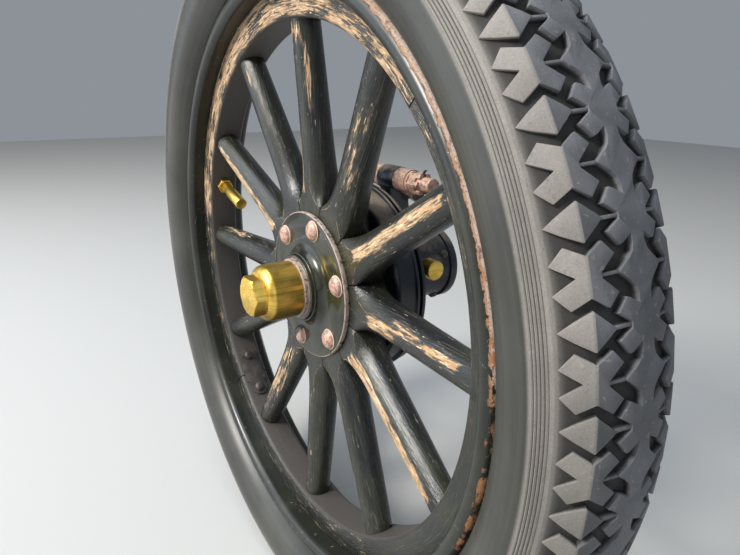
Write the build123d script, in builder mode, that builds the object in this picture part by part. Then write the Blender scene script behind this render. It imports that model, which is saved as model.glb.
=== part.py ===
from build123d import *
import os
from math import cos, degrees, radians, sin, tan

# A wooden spoked rear wheel with its beaded-edge tyre, on the end of the axle that carries it.
# The axle's axis is Y. Outboard is -Y, forward is -X, up is +Z. The origin is on the axis,
# at the mouth of the socket that the axle tube enters. Lengths are in millimetres.

# Places along the axis, counted inboard from the tyre's middle plane
wheel_offset = 170.0
hub_front = -2.0
hub_plate_gauge = 5.0
spoke_root_depth = 36.0
hub_flange_gauge = 6.0
drum_depth = 25.0
drum_to_plate_gap = 5.2
cap_mouth = -25.0
cap_barrel_length = 28.5
cap_shoulder_length = 9.0
cap_hex_length = 12.0

# Tyre
tyre_radius = 383.5
tyre_half_width = 55.0
sidewall_widest_share = 0.6
tread_half_width = 35.0
tread_edge_drop = 6.0
shoulder_half_width = 47.5
shoulder_drop = 20.5
tyre_wall = 8.0
tread_thickness = 13.0
bead_toe_half_width = 14.0

# Rim
rim_seat_radius = 292.5
rim_gauge = 3.0
rim_curl_half_width = 31.5
rim_curl_radius = 8.0

# Felloe, in two bent halves, and the plates that join them
felloe_depth = 26.5
felloe_width = 38.0
felloe_corner = 5.0
felloe_saw_cut = 1.5
felloe_plate_gauge = 2.5
felloe_plate_width = 27.0
felloe_plate_span = 19.0
felloe_rivet_radius = 4.0
felloe_rivet_head_radius = 7.0
felloe_rivet_head_height = 4.0
felloe_rivet_spread = 5.4
rivet_head_taper = 35.0

# Spokes
spoke_count = 12
spoke_turn = 0.8
spoke_corner_radius = 4.0
spoke_wedge_end = 88.0
spoke_throat_place = 104.0
spoke_throat_width = 38.0
spoke_throat_corner = 12.0
spoke_neck_place = 128.0
spoke_neck_width = 36.0
spoke_neck_depth = 34.0
spoke_neck_corner = 16.0
spoke_end_width = 29.0
spoke_end_depth = 28.0
spoke_end_corner = 13.4
tenon_radius = 9.0
tenon_length = 17.0

# Hub
hub_barrel_radius = 37.5
hub_flange_radius = 79.0
hub_collar_radius = 35.0
hub_collar_length = 18.0
hub_ring_radius = 31.5
hub_spigot_radius = 26.5
hub_spigot_length = 9.0
hub_inner_end_radius = 45.0
hub_inner_end_length = 6.0
hub_bolt_count = 6
hub_bolt_place_radius = 65.0
hub_bolt_radius = 5.5
hub_bolt_head_radius = 11.0
hub_bolt_head_height = 6.0
hub_bolt_head_round = 5.1
hub_nut_width = 19.0
hub_nut_height = 9.0
hub_flare_radius = 48.0
hub_flare_height = 10.0
hub_flare_lip = 2.0

# Hub cap
cap_radius = 29.7
cap_hex_width = 38.0
cap_shoulder_radius = 23.5

# Brake drum
drum_radius = 101.6
drum_gauge = 3.0
drum_lip = 3.4
drum_corner = 5.0

# Axle shaft
shaft_radius = 13.5
shaft_small_radius = 10.5
shaft_thread_radius = 9.5
shaft_thread_length = 16.0
shaft_inner_length = 74.0

# Tyre valve
valve_hole_radius = 6.8
valve_radius = 6.3
valve_length = 63.0
valve_nut_width = 18.0
valve_nut_height = 7.0
valve_cap_radius = 7.4
valve_cap_length = 36.0
valve_lag = 1.2

# Bearing housing
plate_radius = 103.0
plate_gauge = 3.5
plate_bore_radius = 30.0
housing_radius = 40.0
housing_flange_radius = 53.0
housing_flange_gauge = 9.0
housing_end_radius = 43.0
housing_end_length = 9.0
socket_radius = 28.6
socket_depth = 45.0
bearing_clearance = 0.05
housing_bolt_count = 4
housing_bolt_place_radius = 46.5
housing_bolt_radius = 3.5
housing_bolt_width = 10.0
housing_bolt_height = 5.0
housing_bolt_turn = 45.0
tube_rivet_count = 4
tube_rivet_radius = 3.5
tube_rivet_head_radius = 6.0
tube_rivet_head_height = 4.0
tube_rivet_inset = 15.4
tube_rivet_turn = 28.0
tube_rivet_gap = 0.6

# Grease cup on the bearing housing
cup_place = 108.0
cup_height = 18.0
cup_radius = 10.8
cup_length = 15.0
cup_reach = 77.0
cup_corner = 1.5
cup_stem_radius = 6.5
cup_stem_root = 31.0

# Spring perch and its shackle
perch_place = 105.0
perch_eye_height = 107.0
perch_eye_radius = 13.5
perch_eye_half_length = 14.0
perch_web_thickness = 20.0
perch_web_foot_length = 33.0
perch_web_neck_length = 21.6
perch_web_neck_drop = 7.0
perch_foot_start = 93.0
perch_foot_length = 40.0
perch_foot_width = 46.0
perch_foot_top = 48.0
perch_foot_skirt = 18.0
perch_bolt_radius = 3.5
perch_bolt_width = 9.0
perch_bolt_height = 4.0
perch_bolt_inset = 6.0
perch_bolt_depth = 17.0
perch_lug_top = 80.0
perch_lug_reach = 66.0
perch_lug_width = 26.0
perch_lug_thickness = 9.0
perch_lug_hole_radius = 6.5
shackle_bolt_radius = 8.0
shackle_drop = 18.0
shackle_reach = 29.0
shackle_eye_radius = 13.0
shackle_hole_radius = 8.1
front_link_thickness = 7.0
rear_link_thickness = 20.0
rear_link_bar_thickness = 10.0
shackle_washer_radius = 12.0
shackle_washer_gauge = 4.0
shackle_head_radius = 11.5
shackle_head_length = 18.0
shackle_nut_width = 21.0
shackle_nut_height = 17.0
shackle_stud_length = 14.0

# Brake cam lever behind the backing plate
cam_place_radius = 74.0
cam_boss_radius = 9.0
cam_boss_length = 16.0
cam_spindle_radius = 6.0
lever_length = 62.0
lever_lean = 10.0
lever_end_radius = 8.0
lever_thickness = 6.0
lever_hole_radius = 4.5

# Clearances
seat = 0.15
thread_clearance = 0.1

# Sizes that follow
rim_base_radius = rim_seat_radius - rim_gauge
felloe_inner_radius = rim_base_radius - felloe_depth
pitch = 360.0 / spoke_count
hub_plate_front = hub_front - hub_plate_gauge
hub_middle = hub_front + spoke_root_depth / 2
hub_back = hub_front + spoke_root_depth
drum_face = hub_back + hub_flange_gauge
drum_end = drum_face + drum_depth
plate_face = drum_end + drum_to_plate_gap
housing_face = plate_face + plate_gauge
socket_floor = wheel_offset - socket_depth
hub_inner_end = drum_face + hub_inner_end_length
hub_outer_end = cap_mouth - hub_spigot_length
cap_shoulder_start = cap_mouth - cap_barrel_length
cap_hex_start = cap_shoulder_start - cap_shoulder_length
shaft_inner_end = hub_inner_end + shaft_inner_length
bolt_turn = spoke_turn + pitch / 2
valve_turn = spoke_turn + 5.5 * pitch - valve_lag
felloe_joint_turn = spoke_turn + 7.5 * pitch
perch_y = perch_place - wheel_offset
link_back = perch_eye_half_length + 2 * seat

os.makedirs("parts", exist_ok=True)


def turned_section_plane(turn):
    """Local x is the radius at this turn, local y is counted inboard from the tyre's middle plane."""
    across = (cos(radians(turn)), 0, sin(radians(turn)))
    return Plane((0, -wheel_offset, 0), x_dir=across, z_dir=(-across[2], 0, across[0]))


section_plane = turned_section_plane(0)


def face_plane(place, turn=0):
    """A plane across the axis that faces outboard; its local x points out at this turn."""
    across = (cos(radians(turn)), 0, sin(radians(turn)))
    return Plane((0, place - wheel_offset, 0), x_dir=across, z_dir=(0, -1, 0))


def radial_plane(radius, place, turn):
    """A plane that faces away from the axis; its local x is Y and its local y runs round."""
    out = (cos(radians(turn)), 0, sin(radians(turn)))
    return Plane((radius * out[0], place - wheel_offset, radius * out[2]), x_dir=(0, 1, 0), z_dir=out)


def corner_radius(width):
    """The radius through the corners of a hexagon that is this wide across its flats."""
    return width / 2 / cos(radians(30))


def save(piece, name):
    piece.part.label = name
    export_step(piece.part, f"parts/{name}.step")


# Tyre: a carcass open at its beads, which hook under the rim's curls
curl_middle = rim_base_radius + rim_curl_radius
curl_tip = curl_middle + rim_curl_radius
hook_radius = rim_curl_radius - rim_gauge - 2 * seat
tip_middle = curl_tip - rim_gauge / 2
tip_reach = rim_gauge / 2 + 2 * seat
bead_seat = rim_seat_radius + 2 * seat
tread_edge = (tyre_radius - tread_edge_drop, tread_half_width)
shoulder = (tyre_radius - shoulder_drop, shoulder_half_width)
widest_radius = curl_tip + sidewall_widest_share * (shoulder[0] - curl_tip)
widest = (widest_radius, tyre_half_width)
widest_inside = (widest_radius, tyre_half_width - tyre_wall)
neck_inside = (curl_tip, rim_curl_half_width - 2 * tyre_wall)
with BuildPart() as tyre:
    with BuildSketch(section_plane):
        with BuildLine():
            Line((bead_seat, bead_toe_half_width), (bead_seat, rim_curl_half_width))
            ThreePointArc(
                (bead_seat, rim_curl_half_width),
                (curl_middle, rim_curl_half_width + hook_radius),
                (curl_middle + hook_radius, rim_curl_half_width),
            )
            ThreePointArc(
                (curl_middle + hook_radius, rim_curl_half_width),
                (tip_middle, rim_curl_half_width - tip_reach),
                (tip_middle + tip_reach, rim_curl_half_width),
            )
            TangentArc(widest, (tip_middle + tip_reach, rim_curl_half_width), tangent=(-1, 0))
            TangentArc(widest, shoulder, tangent=(1, 0))
            Line(shoulder, tread_edge)
            TangentArc((tyre_radius, 0), tread_edge, tangent=(0, 1))
            Line((tyre_radius, 0), (tyre_radius - tread_thickness, 0))
            TangentArc((tyre_radius - tread_thickness, 0), widest_inside, tangent=(0, 1))
            Polyline(widest_inside, neck_inside, (bead_seat, bead_toe_half_width))
        make_face()
        mirror(about=Plane.XZ)
    revolve(axis=Axis.Y)
save(tyre, "tyre")

# Rim: a steel band with both edges rolled into curls
with BuildPart() as rim:
    with BuildSketch(section_plane):
        with BuildLine():
            Polyline(
                (rim_seat_radius, rim_curl_half_width),
                (rim_seat_radius, 0),
                (rim_base_radius, 0),
                (rim_base_radius, rim_curl_half_width),
            )
            ThreePointArc(
                (rim_base_radius, rim_curl_half_width),
                (curl_middle, rim_curl_half_width + rim_curl_radius),
                (curl_tip, rim_curl_half_width),
            )
            Line((curl_tip, rim_curl_half_width), (curl_tip - rim_gauge, rim_curl_half_width))
            ThreePointArc(
                (curl_tip - rim_gauge, rim_curl_half_width),
                (curl_middle, rim_curl_half_width + rim_curl_radius - rim_gauge),
                (rim_seat_radius, rim_curl_half_width),
            )
        make_face()
        mirror(about=Plane.XZ)
    revolve(axis=Axis.Y)
    with BuildSketch(radial_plane(felloe_inner_radius, 0, valve_turn)):
        Circle(valve_hole_radius)
    extrude(amount=felloe_depth + 2 * rim_gauge, mode=Mode.SUBTRACT)
save(rim, "rim")

# Felloe: two bent halves, bored for the spokes' tenons, the valve and the joint plates' rivets
half_cut = degrees(felloe_saw_cut / 2 / rim_base_radius)
rivet_turns = [
    felloe_joint_turn + side + spread
    for side in (0, 180)
    for spread in (-felloe_rivet_spread, felloe_rivet_spread)
]


def make_felloe_half(start_turn):
    with BuildPart() as half:
        with BuildSketch(turned_section_plane(start_turn - half_cut)):
            with Locations((rim_base_radius - felloe_depth / 2, 0)):
                block = Rectangle(felloe_depth, felloe_width)
            fillet(block.vertices().group_by(Axis.X)[0], radius=felloe_corner)
        revolve(axis=Axis.Y, revolution_arc=180 - 2 * half_cut)
        for number in range(spoke_count):
            with BuildSketch(radial_plane(felloe_inner_radius - felloe_corner, 0, spoke_turn + number * pitch)):
                Circle(tenon_radius + seat)
            extrude(amount=felloe_corner + tenon_length + 2 * seat, mode=Mode.SUBTRACT)
        with BuildSketch(radial_plane(felloe_inner_radius - felloe_corner, 0, valve_turn)):
            Circle(valve_hole_radius)
        extrude(amount=felloe_corner + felloe_depth + rim_gauge, mode=Mode.SUBTRACT)
        for turn in rivet_turns:
            with BuildSketch(radial_plane(felloe_inner_radius - felloe_corner, 0, turn)):
                Circle(felloe_rivet_radius + seat)
            extrude(amount=felloe_corner + tenon_length + 2 * seat, mode=Mode.SUBTRACT)
    return half


save(make_felloe_half(felloe_joint_turn), "felloe_forward")
save(make_felloe_half(felloe_joint_turn + 180), "felloe_rearward")

# Curved steel plates across the two joints, on the felloe's inner face
plate_outer_radius = felloe_inner_radius - seat
plate_inner_radius = plate_outer_radius - felloe_plate_gauge
with BuildPart() as felloe_plates:
    for side in (0, 180):
        with BuildSketch(turned_section_plane(felloe_joint_turn + side + felloe_plate_span / 2)):
            with Locations((plate_outer_radius - felloe_plate_gauge / 2, 0)):
                Rectangle(felloe_plate_gauge, felloe_plate_width)
        revolve(axis=Axis.Y, revolution_arc=felloe_plate_span)
    for turn in rivet_turns:
        with BuildSketch(radial_plane(plate_inner_radius - felloe_plate_gauge, 0, turn)):
            Circle(felloe_rivet_radius + seat)
        extrude(amount=3 * felloe_plate_gauge, mode=Mode.SUBTRACT)
save(felloe_plates, "felloe_plates")

# Rivets with cone heads, from the plates into the felloe
rivet_head_seat = plate_inner_radius - seat
with BuildPart() as felloe_rivets:
    for turn in rivet_turns:
        with BuildSketch(radial_plane(rivet_head_seat, 0, turn)):
            Circle(felloe_rivet_radius)
        extrude(amount=felloe_inner_radius + tenon_length - rivet_head_seat)
        with BuildSketch(radial_plane(rivet_head_seat, 0, turn)):
            Circle(felloe_rivet_head_radius)
        extrude(amount=-felloe_rivet_head_height, taper=rivet_head_taper)
save(felloe_rivets, "felloe_rivets")


# Spokes: a wedge between the hub's flanges, a rounded body that leans out to the felloe, a tenon
def make_spoke(turn):
    half_pitch = tan(radians(pitch / 2))
    root = hub_barrel_radius + seat
    neck = spoke_wedge_end - spoke_corner_radius
    with BuildPart() as spoke:
        with BuildSketch(face_plane(hub_front, turn)):
            with BuildLine():
                Polyline(
                    (root, root * half_pitch - seat),
                    (spoke_wedge_end, spoke_wedge_end * half_pitch - seat),
                    (spoke_wedge_end, seat - spoke_wedge_end * half_pitch),
                    (root, seat - root * half_pitch),
                    close=True,
                )
            make_face()
        extrude(amount=-spoke_root_depth)
        lean = hub_middle / (felloe_inner_radius - neck)
        sections = [
            # radius, depth along the axle, width, corner radius
            (neck, spoke_root_depth, 2 * (neck * half_pitch - 2 * seat), spoke_corner_radius),
            (spoke_throat_place, spoke_root_depth, spoke_throat_width, spoke_throat_corner),
            (spoke_neck_place, spoke_neck_depth, spoke_neck_width, spoke_neck_corner),
            (felloe_inner_radius + felloe_corner, spoke_end_depth, spoke_end_width, spoke_end_corner),
        ]
        for radius, depth, width, corner in sections:
            with BuildSketch(radial_plane(radius, hub_middle - lean * (radius - neck), turn)):
                RectangleRounded(depth, width, corner)
        loft(ruled=True)
        with BuildSketch(face_plane(-felloe_width, turn)):
            with Locations((felloe_inner_radius, 0)):
                Rectangle(4 * felloe_corner, 2 * spoke_end_width)
            Circle(felloe_inner_radius - seat, mode=Mode.SUBTRACT)
        extrude(amount=-2 * felloe_width, mode=Mode.SUBTRACT)
        with BuildSketch(radial_plane(felloe_inner_radius - felloe_corner, 0, turn)):
            Circle(tenon_radius)
        extrude(amount=felloe_corner + tenon_length)
        with BuildSketch(face_plane(hub_front)):
            with PolarLocations(hub_bolt_place_radius, hub_bolt_count, start_angle=bolt_turn):
                Circle(hub_bolt_radius + seat)
        extrude(amount=-spoke_root_depth, mode=Mode.SUBTRACT)
    return spoke


for number in range(spoke_count):
    save(make_spoke(spoke_turn + number * pitch), f"spoke_{number + 1:02d}")

# Hub: a forged barrel with its inner flange, bored to the axle's taper
with BuildPart() as hub:
    with BuildSketch(section_plane):
        with BuildLine():
            Polyline(
                (shaft_small_radius + seat, hub_outer_end),
                (hub_spigot_radius, hub_outer_end),
                (hub_spigot_radius, cap_mouth),
                (hub_ring_radius, cap_mouth),
                (hub_ring_radius, hub_front - hub_collar_length),
                (hub_collar_radius, hub_front - hub_collar_length),
                (hub_collar_radius, hub_front),
                (hub_barrel_radius, hub_front),
                (hub_barrel_radius, hub_back),
                (hub_flange_radius, hub_back),
                (hub_flange_radius, drum_face),
                (hub_inner_end_radius, drum_face),
                (hub_inner_end_radius, hub_inner_end),
                (shaft_radius + seat, hub_inner_end),
                close=True,
            )
        make_face()
    revolve(axis=Axis.Y)
    with BuildSketch(face_plane(hub_back)):
        with PolarLocations(hub_bolt_place_radius, hub_bolt_count, start_angle=bolt_turn):
            Circle(hub_bolt_radius + seat)
    extrude(amount=-hub_flange_gauge, mode=Mode.SUBTRACT)
save(hub, "hub")

# Front hub plate: a disc that flares up to the hub's collar
collar_hole = hub_collar_radius + seat
with BuildPart() as hub_plate:
    with BuildSketch(section_plane):
        with BuildLine():
            Polyline(
                (hub_flare_radius, hub_plate_front),
                (hub_flange_radius, hub_plate_front),
                (hub_flange_radius, hub_front),
                (collar_hole, hub_front),
                (collar_hole, hub_plate_front - hub_flare_height),
                (collar_hole + hub_flare_lip, hub_plate_front - hub_flare_height),
            )
            TangentArc(
                (hub_flare_radius, hub_plate_front),
                (collar_hole + hub_flare_lip, hub_plate_front - hub_flare_height),
                tangent=(-1, 0),
            )
        make_face()
    revolve(axis=Axis.Y)
    with BuildSketch(face_plane(hub_front)):
        with PolarLocations(hub_bolt_place_radius, hub_bolt_count, start_angle=bolt_turn):
            Circle(hub_bolt_radius + seat)
    extrude(amount=hub_plate_gauge, mode=Mode.SUBTRACT)
save(hub_plate, "hub_plate")

# Hub bolts: domed heads on the plate, shanks between the spokes, nuts inside the drum
hub_nut_seat = drum_face + drum_gauge
with BuildPart() as hub_bolts:
    with BuildSketch(face_plane(hub_plate_front)):
        with PolarLocations(hub_bolt_place_radius, hub_bolt_count, start_angle=bolt_turn):
            Circle(hub_bolt_head_radius)
    extrude(amount=hub_bolt_head_height)
    fillet(hub_bolts.edges().group_by(Axis.Y)[0], radius=hub_bolt_head_round)
    with BuildSketch(face_plane(hub_plate_front)):
        with PolarLocations(hub_bolt_place_radius, hub_bolt_count, start_angle=bolt_turn):
            Circle(hub_bolt_radius)
    extrude(amount=hub_plate_front - hub_nut_seat)
    with BuildSketch(face_plane(hub_nut_seat)):
        with PolarLocations(hub_bolt_place_radius, hub_bolt_count, start_angle=bolt_turn):
            RegularPolygon(corner_radius(hub_nut_width), 6)
    extrude(amount=-hub_nut_height)
save(hub_bolts, "hub_bolts")

# Brake drum: a pressed steel cup with a lip at its open side
with BuildPart() as brake_drum:
    with BuildSketch(section_plane):
        with BuildLine():
            Polyline(
                (hub_inner_end_radius + seat, drum_face),
                (drum_radius, drum_face),
                (drum_radius, drum_end - drum_gauge),
                (drum_radius + drum_lip, drum_end - drum_gauge),
                (drum_radius + drum_lip, drum_end),
                (drum_radius - drum_gauge, drum_end),
                (drum_radius - drum_gauge, drum_face + drum_gauge),
                (hub_inner_end_radius + seat, drum_face + drum_gauge),
                close=True,
            )
        outline = make_face()
        fillet(outline.vertices().sort_by_distance((drum_radius, drum_face))[0], radius=drum_corner)
    revolve(axis=Axis.Y)
    with BuildSketch(face_plane(drum_face)):
        with PolarLocations(hub_bolt_place_radius, hub_bolt_count, start_angle=bolt_turn):
            Circle(hub_bolt_radius + seat)
    extrude(amount=-drum_gauge, mode=Mode.SUBTRACT)
save(brake_drum, "brake_drum")

# Hub cap: a brass cup screwed on the hub's spigot, with a hexagon at its end
with BuildPart() as hub_cap:
    with BuildSketch(section_plane):
        with BuildLine():
            Polyline(
                (hub_spigot_radius + thread_clearance, cap_mouth),
                (cap_radius, cap_mouth),
                (cap_radius, cap_shoulder_start),
            )
            TangentArc(
                (cap_radius, cap_shoulder_start),
                (cap_shoulder_radius, cap_hex_start),
                tangent=(0, -1),
            )
            Polyline(
                (cap_shoulder_radius, cap_hex_start),
                (0, cap_hex_start),
                (0, cap_shoulder_start),
                (hub_spigot_radius + thread_clearance, cap_shoulder_start),
                (hub_spigot_radius + thread_clearance, cap_mouth),
            )
        make_face()
    revolve(axis=Axis.Y)
    with BuildSketch(face_plane(cap_hex_start, spoke_turn)):
        RegularPolygon(corner_radius(cap_hex_width), 6)
    extrude(amount=cap_hex_length)
save(hub_cap, "hub_cap")

# Axle shaft: it turns with the wheel, on a taper in the hub and in the housing's bearing
with BuildPart() as axle_shaft:
    with BuildSketch(section_plane):
        with BuildLine():
            Polyline(
                (0, hub_outer_end - shaft_thread_length),
                (shaft_thread_radius, hub_outer_end - shaft_thread_length),
                (shaft_thread_radius, hub_outer_end),
                (shaft_small_radius, hub_outer_end),
                (shaft_radius, hub_inner_end),
                (shaft_radius, shaft_inner_end),
                (0, shaft_inner_end),
                close=True,
            )
        make_face()
    revolve(axis=Axis.Y)
save(axle_shaft, "axle_shaft")

# Tyre valve: a brass stem through rim and felloe, with its cap, and the nut that holds it
valve_nut_seat = felloe_inner_radius - 2 * seat
valve_end = valve_nut_seat - valve_length
with BuildPart() as valve_stem:
    with BuildSketch(radial_plane(valve_end, 0, valve_turn)):
        Circle(valve_radius)
    extrude(amount=rim_seat_radius - valve_end)
    with BuildSketch(radial_plane(valve_end, 0, valve_turn)):
        Circle(valve_cap_radius)
    extrude(amount=valve_cap_length)
save(valve_stem, "valve_stem")

with BuildPart() as valve_nut:
    with BuildSketch(radial_plane(valve_nut_seat, 0, valve_turn)):
        RegularPolygon(corner_radius(valve_nut_width), 6)
        Circle(valve_radius + thread_clearance, mode=Mode.SUBTRACT)
    extrude(amount=-valve_nut_height)
save(valve_nut, "valve_nut")

# Backing plate: it closes the drum's open side and carries the brake cam's boss
cam_spot = (-cam_place_radius, 0)
with BuildPart() as backing_plate:
    with BuildSketch(face_plane(housing_face)):
        Circle(plate_radius)
        Circle(plate_bore_radius, mode=Mode.SUBTRACT)
    extrude(amount=plate_gauge)
    with BuildSketch(face_plane(housing_face)):
        with Locations(cam_spot):
            Circle(cam_boss_radius)
    extrude(amount=-cam_boss_length)
    with BuildSketch(face_plane(plate_face)):
        with Locations(cam_spot):
            Circle(cam_spindle_radius + seat)
        with PolarLocations(housing_bolt_place_radius, housing_bolt_count, start_angle=housing_bolt_turn):
            Circle(housing_bolt_radius + seat)
    extrude(amount=-plate_gauge - cam_boss_length, mode=Mode.SUBTRACT)
save(backing_plate, "backing_plate")

# Brake cam spindle and its lever, with the hole that the brake rod hooks into
lever_face = housing_face + cam_boss_length + 2 * seat
lever_tip = (-cam_place_radius - lever_lean, lever_length)
with BuildPart() as brake_lever:
    with BuildSketch(face_plane(plate_face)):
        with Locations(cam_spot):
            Circle(cam_spindle_radius)
    extrude(amount=plate_face - lever_face)
    with BuildSketch(face_plane(lever_face)):
        SlotCenterPoint(
            center=(-cam_place_radius - lever_lean / 2, lever_length / 2),
            point=lever_tip,
            height=2 * lever_end_radius,
        )
        with Locations(lever_tip):
            Circle(lever_hole_radius, mode=Mode.SUBTRACT)
    extrude(amount=-lever_thickness)
save(brake_lever, "brake_lever")

# Bearing housing: a casting with the shaft's bearing at one end and the tube's socket at the other
with BuildPart() as bearing_housing:
    with BuildSketch(section_plane):
        with BuildLine():
            Polyline(
                (shaft_radius + bearing_clearance, housing_face),
                (housing_flange_radius, housing_face),
                (housing_flange_radius, housing_face + housing_flange_gauge),
                (housing_radius, housing_face + housing_flange_gauge),
                (housing_radius, wheel_offset - housing_end_length),
                (housing_end_radius, wheel_offset - housing_end_length),
                (housing_end_radius, wheel_offset),
                (socket_radius, wheel_offset),
                (socket_radius, socket_floor),
                (shaft_radius + bearing_clearance, socket_floor),
                close=True,
            )
        make_face()
    revolve(axis=Axis.Y)
    with BuildSketch(face_plane(housing_face)):
        with PolarLocations(housing_bolt_place_radius, housing_bolt_count, start_angle=housing_bolt_turn):
            Circle(housing_bolt_radius + seat)
    extrude(amount=-housing_flange_gauge, mode=Mode.SUBTRACT)
    for number in range(tube_rivet_count):
        turn = tube_rivet_turn + number * 360 / tube_rivet_count
        with BuildSketch(radial_plane(socket_radius + tube_rivet_gap, wheel_offset - tube_rivet_inset, turn)):
            Circle(tube_rivet_radius + seat)
        extrude(amount=housing_radius, mode=Mode.SUBTRACT)
    with BuildSketch(Plane.YZ.offset(cup_stem_root)):
        with Locations((cup_place - wheel_offset, cup_height)):
            Circle(cup_stem_radius + thread_clearance)
    extrude(amount=housing_radius, mode=Mode.SUBTRACT)
    with BuildSketch(Plane.XY.offset(perch_foot_top)):
        with Locations((0, perch_foot_start + perch_foot_length / 2 - wheel_offset)):
            with GridLocations(
                perch_foot_width - 2 * perch_bolt_inset, perch_foot_length - 2 * perch_bolt_inset, 2, 2
            ):
                Circle(perch_bolt_radius + seat)
    extrude(amount=-perch_bolt_depth - seat, mode=Mode.SUBTRACT)
save(bearing_housing, "bearing_housing")

# Bolts that hold the backing plate to the housing's flange
with BuildPart() as housing_bolts:
    with BuildSketch(face_plane(plate_face)):
        with PolarLocations(housing_bolt_place_radius, housing_bolt_count, start_angle=housing_bolt_turn):
            Circle(housing_bolt_radius)
    extrude(amount=-plate_gauge - housing_flange_gauge)
    with BuildSketch(face_plane(housing_face + housing_flange_gauge)):
        with PolarLocations(housing_bolt_place_radius, housing_bolt_count, start_angle=housing_bolt_turn):
            RegularPolygon(corner_radius(housing_bolt_width), 6)
    extrude(amount=-housing_bolt_height)
save(housing_bolts, "housing_bolts")

# Rivets round the socket, ready to be driven through the tube
with BuildPart() as tube_rivets:
    for number in range(tube_rivet_count):
        turn = tube_rivet_turn + number * 360 / tube_rivet_count
        with BuildSketch(radial_plane(socket_radius + tube_rivet_gap, wheel_offset - tube_rivet_inset, turn)):
            Circle(tube_rivet_radius)
        extrude(amount=housing_radius - socket_radius - tube_rivet_gap)
        with BuildSketch(radial_plane(housing_radius, wheel_offset - tube_rivet_inset, turn)):
            Circle(tube_rivet_head_radius)
        extrude(amount=tube_rivet_head_height, taper=rivet_head_taper)
save(tube_rivets, "tube_rivets")

# Grease cup: a brass cap on a stem screwed into the housing's rear side
with BuildPart() as grease_cup:
    with BuildSketch(Plane.YZ.offset(cup_reach - cup_length)):
        with Locations((cup_place - wheel_offset, cup_height)):
            Circle(cup_radius)
    extrude(amount=cup_length)
    fillet(grease_cup.edges().group_by(Axis.X)[-1], radius=cup_corner)
    with BuildSketch(Plane.YZ.offset(cup_stem_root)):
        with Locations((cup_place - wheel_offset, cup_height)):
            Circle(cup_stem_radius)
    extrude(amount=cup_reach - cup_length - cup_stem_root)
save(grease_cup, "grease_cup")

# Spring perch: a saddle on the housing, a web, an eye and a forward lug for the radius rod
foot_middle = perch_foot_start + perch_foot_length / 2 - wheel_offset
eye_spot = (perch_y, perch_eye_height)
with BuildPart() as spring_perch:
    with BuildSketch(Plane.XY.offset(perch_foot_top)):
        with Locations((0, foot_middle)):
            Rectangle(perch_foot_width, perch_foot_length)
    extrude(amount=-perch_foot_skirt)
    with BuildSketch(Plane.YZ.offset(-perch_web_thickness / 2)):
        with BuildLine():
            Polyline(
                (foot_middle - perch_foot_length / 2, perch_foot_top - perch_lug_thickness),
                (foot_middle - perch_foot_length / 2 + perch_web_foot_length, perch_foot_top - perch_lug_thickness),
                (perch_y + perch_web_neck_length / 2, perch_eye_height - perch_web_neck_drop),
                (perch_y - perch_web_neck_length / 2, perch_eye_height - perch_web_neck_drop),
                close=True,
            )
        make_face()
    extrude(amount=perch_web_thickness)
    with BuildSketch(Plane.YZ.offset(-perch_eye_half_length)):
        with Locations(eye_spot):
            Circle(perch_eye_radius)
    extrude(amount=2 * perch_eye_half_length)
    with BuildSketch(Plane.XY.offset(perch_lug_top)):
        with Locations((-perch_lug_reach / 2, perch_y)):
            Rectangle(perch_lug_reach, perch_lug_width)
    extrude(amount=-perch_lug_thickness)
    with BuildSketch(Plane.XY.offset(perch_lug_top)):
        with Locations((perch_lug_width / 2 - perch_lug_reach, perch_y)):
            Circle(perch_lug_hole_radius)
    extrude(amount=-perch_lug_thickness, mode=Mode.SUBTRACT)
    with BuildSketch(Plane.YZ.offset(-perch_eye_half_length)):
        with Locations(eye_spot):
            Circle(shackle_hole_radius)
    extrude(amount=2 * perch_eye_half_length, mode=Mode.SUBTRACT)
    with BuildSketch(Plane.XZ.offset(-foot_middle - perch_foot_length)):
        Circle(housing_radius + seat)
    extrude(amount=2 * perch_foot_length, mode=Mode.SUBTRACT)
    with BuildSketch(Plane.XY.offset(perch_foot_top)):
        with Locations((0, foot_middle)):
            with GridLocations(
                perch_foot_width - 2 * perch_bolt_inset, perch_foot_length - 2 * perch_bolt_inset, 2, 2
            ):
                Circle(perch_bolt_radius + seat)
    extrude(amount=-perch_bolt_depth, mode=Mode.SUBTRACT)
save(spring_perch, "spring_perch")

with BuildPart() as perch_bolts:
    with BuildSketch(Plane.XY.offset(perch_foot_top)):
        with Locations((0, foot_middle)):
            with GridLocations(
                perch_foot_width - 2 * perch_bolt_inset, perch_foot_length - 2 * perch_bolt_inset, 2, 2
            ):
                RegularPolygon(corner_radius(perch_bolt_width), 6)
    extrude(amount=perch_bolt_height)
    with BuildSketch(Plane.XY.offset(perch_foot_top)):
        with Locations((0, foot_middle)):
            with GridLocations(
                perch_foot_width - 2 * perch_bolt_inset, perch_foot_length - 2 * perch_bolt_inset, 2, 2
            ):
                Circle(perch_bolt_radius)
    extrude(amount=-perch_bolt_depth)
save(perch_bolts, "perch_bolts")

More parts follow.
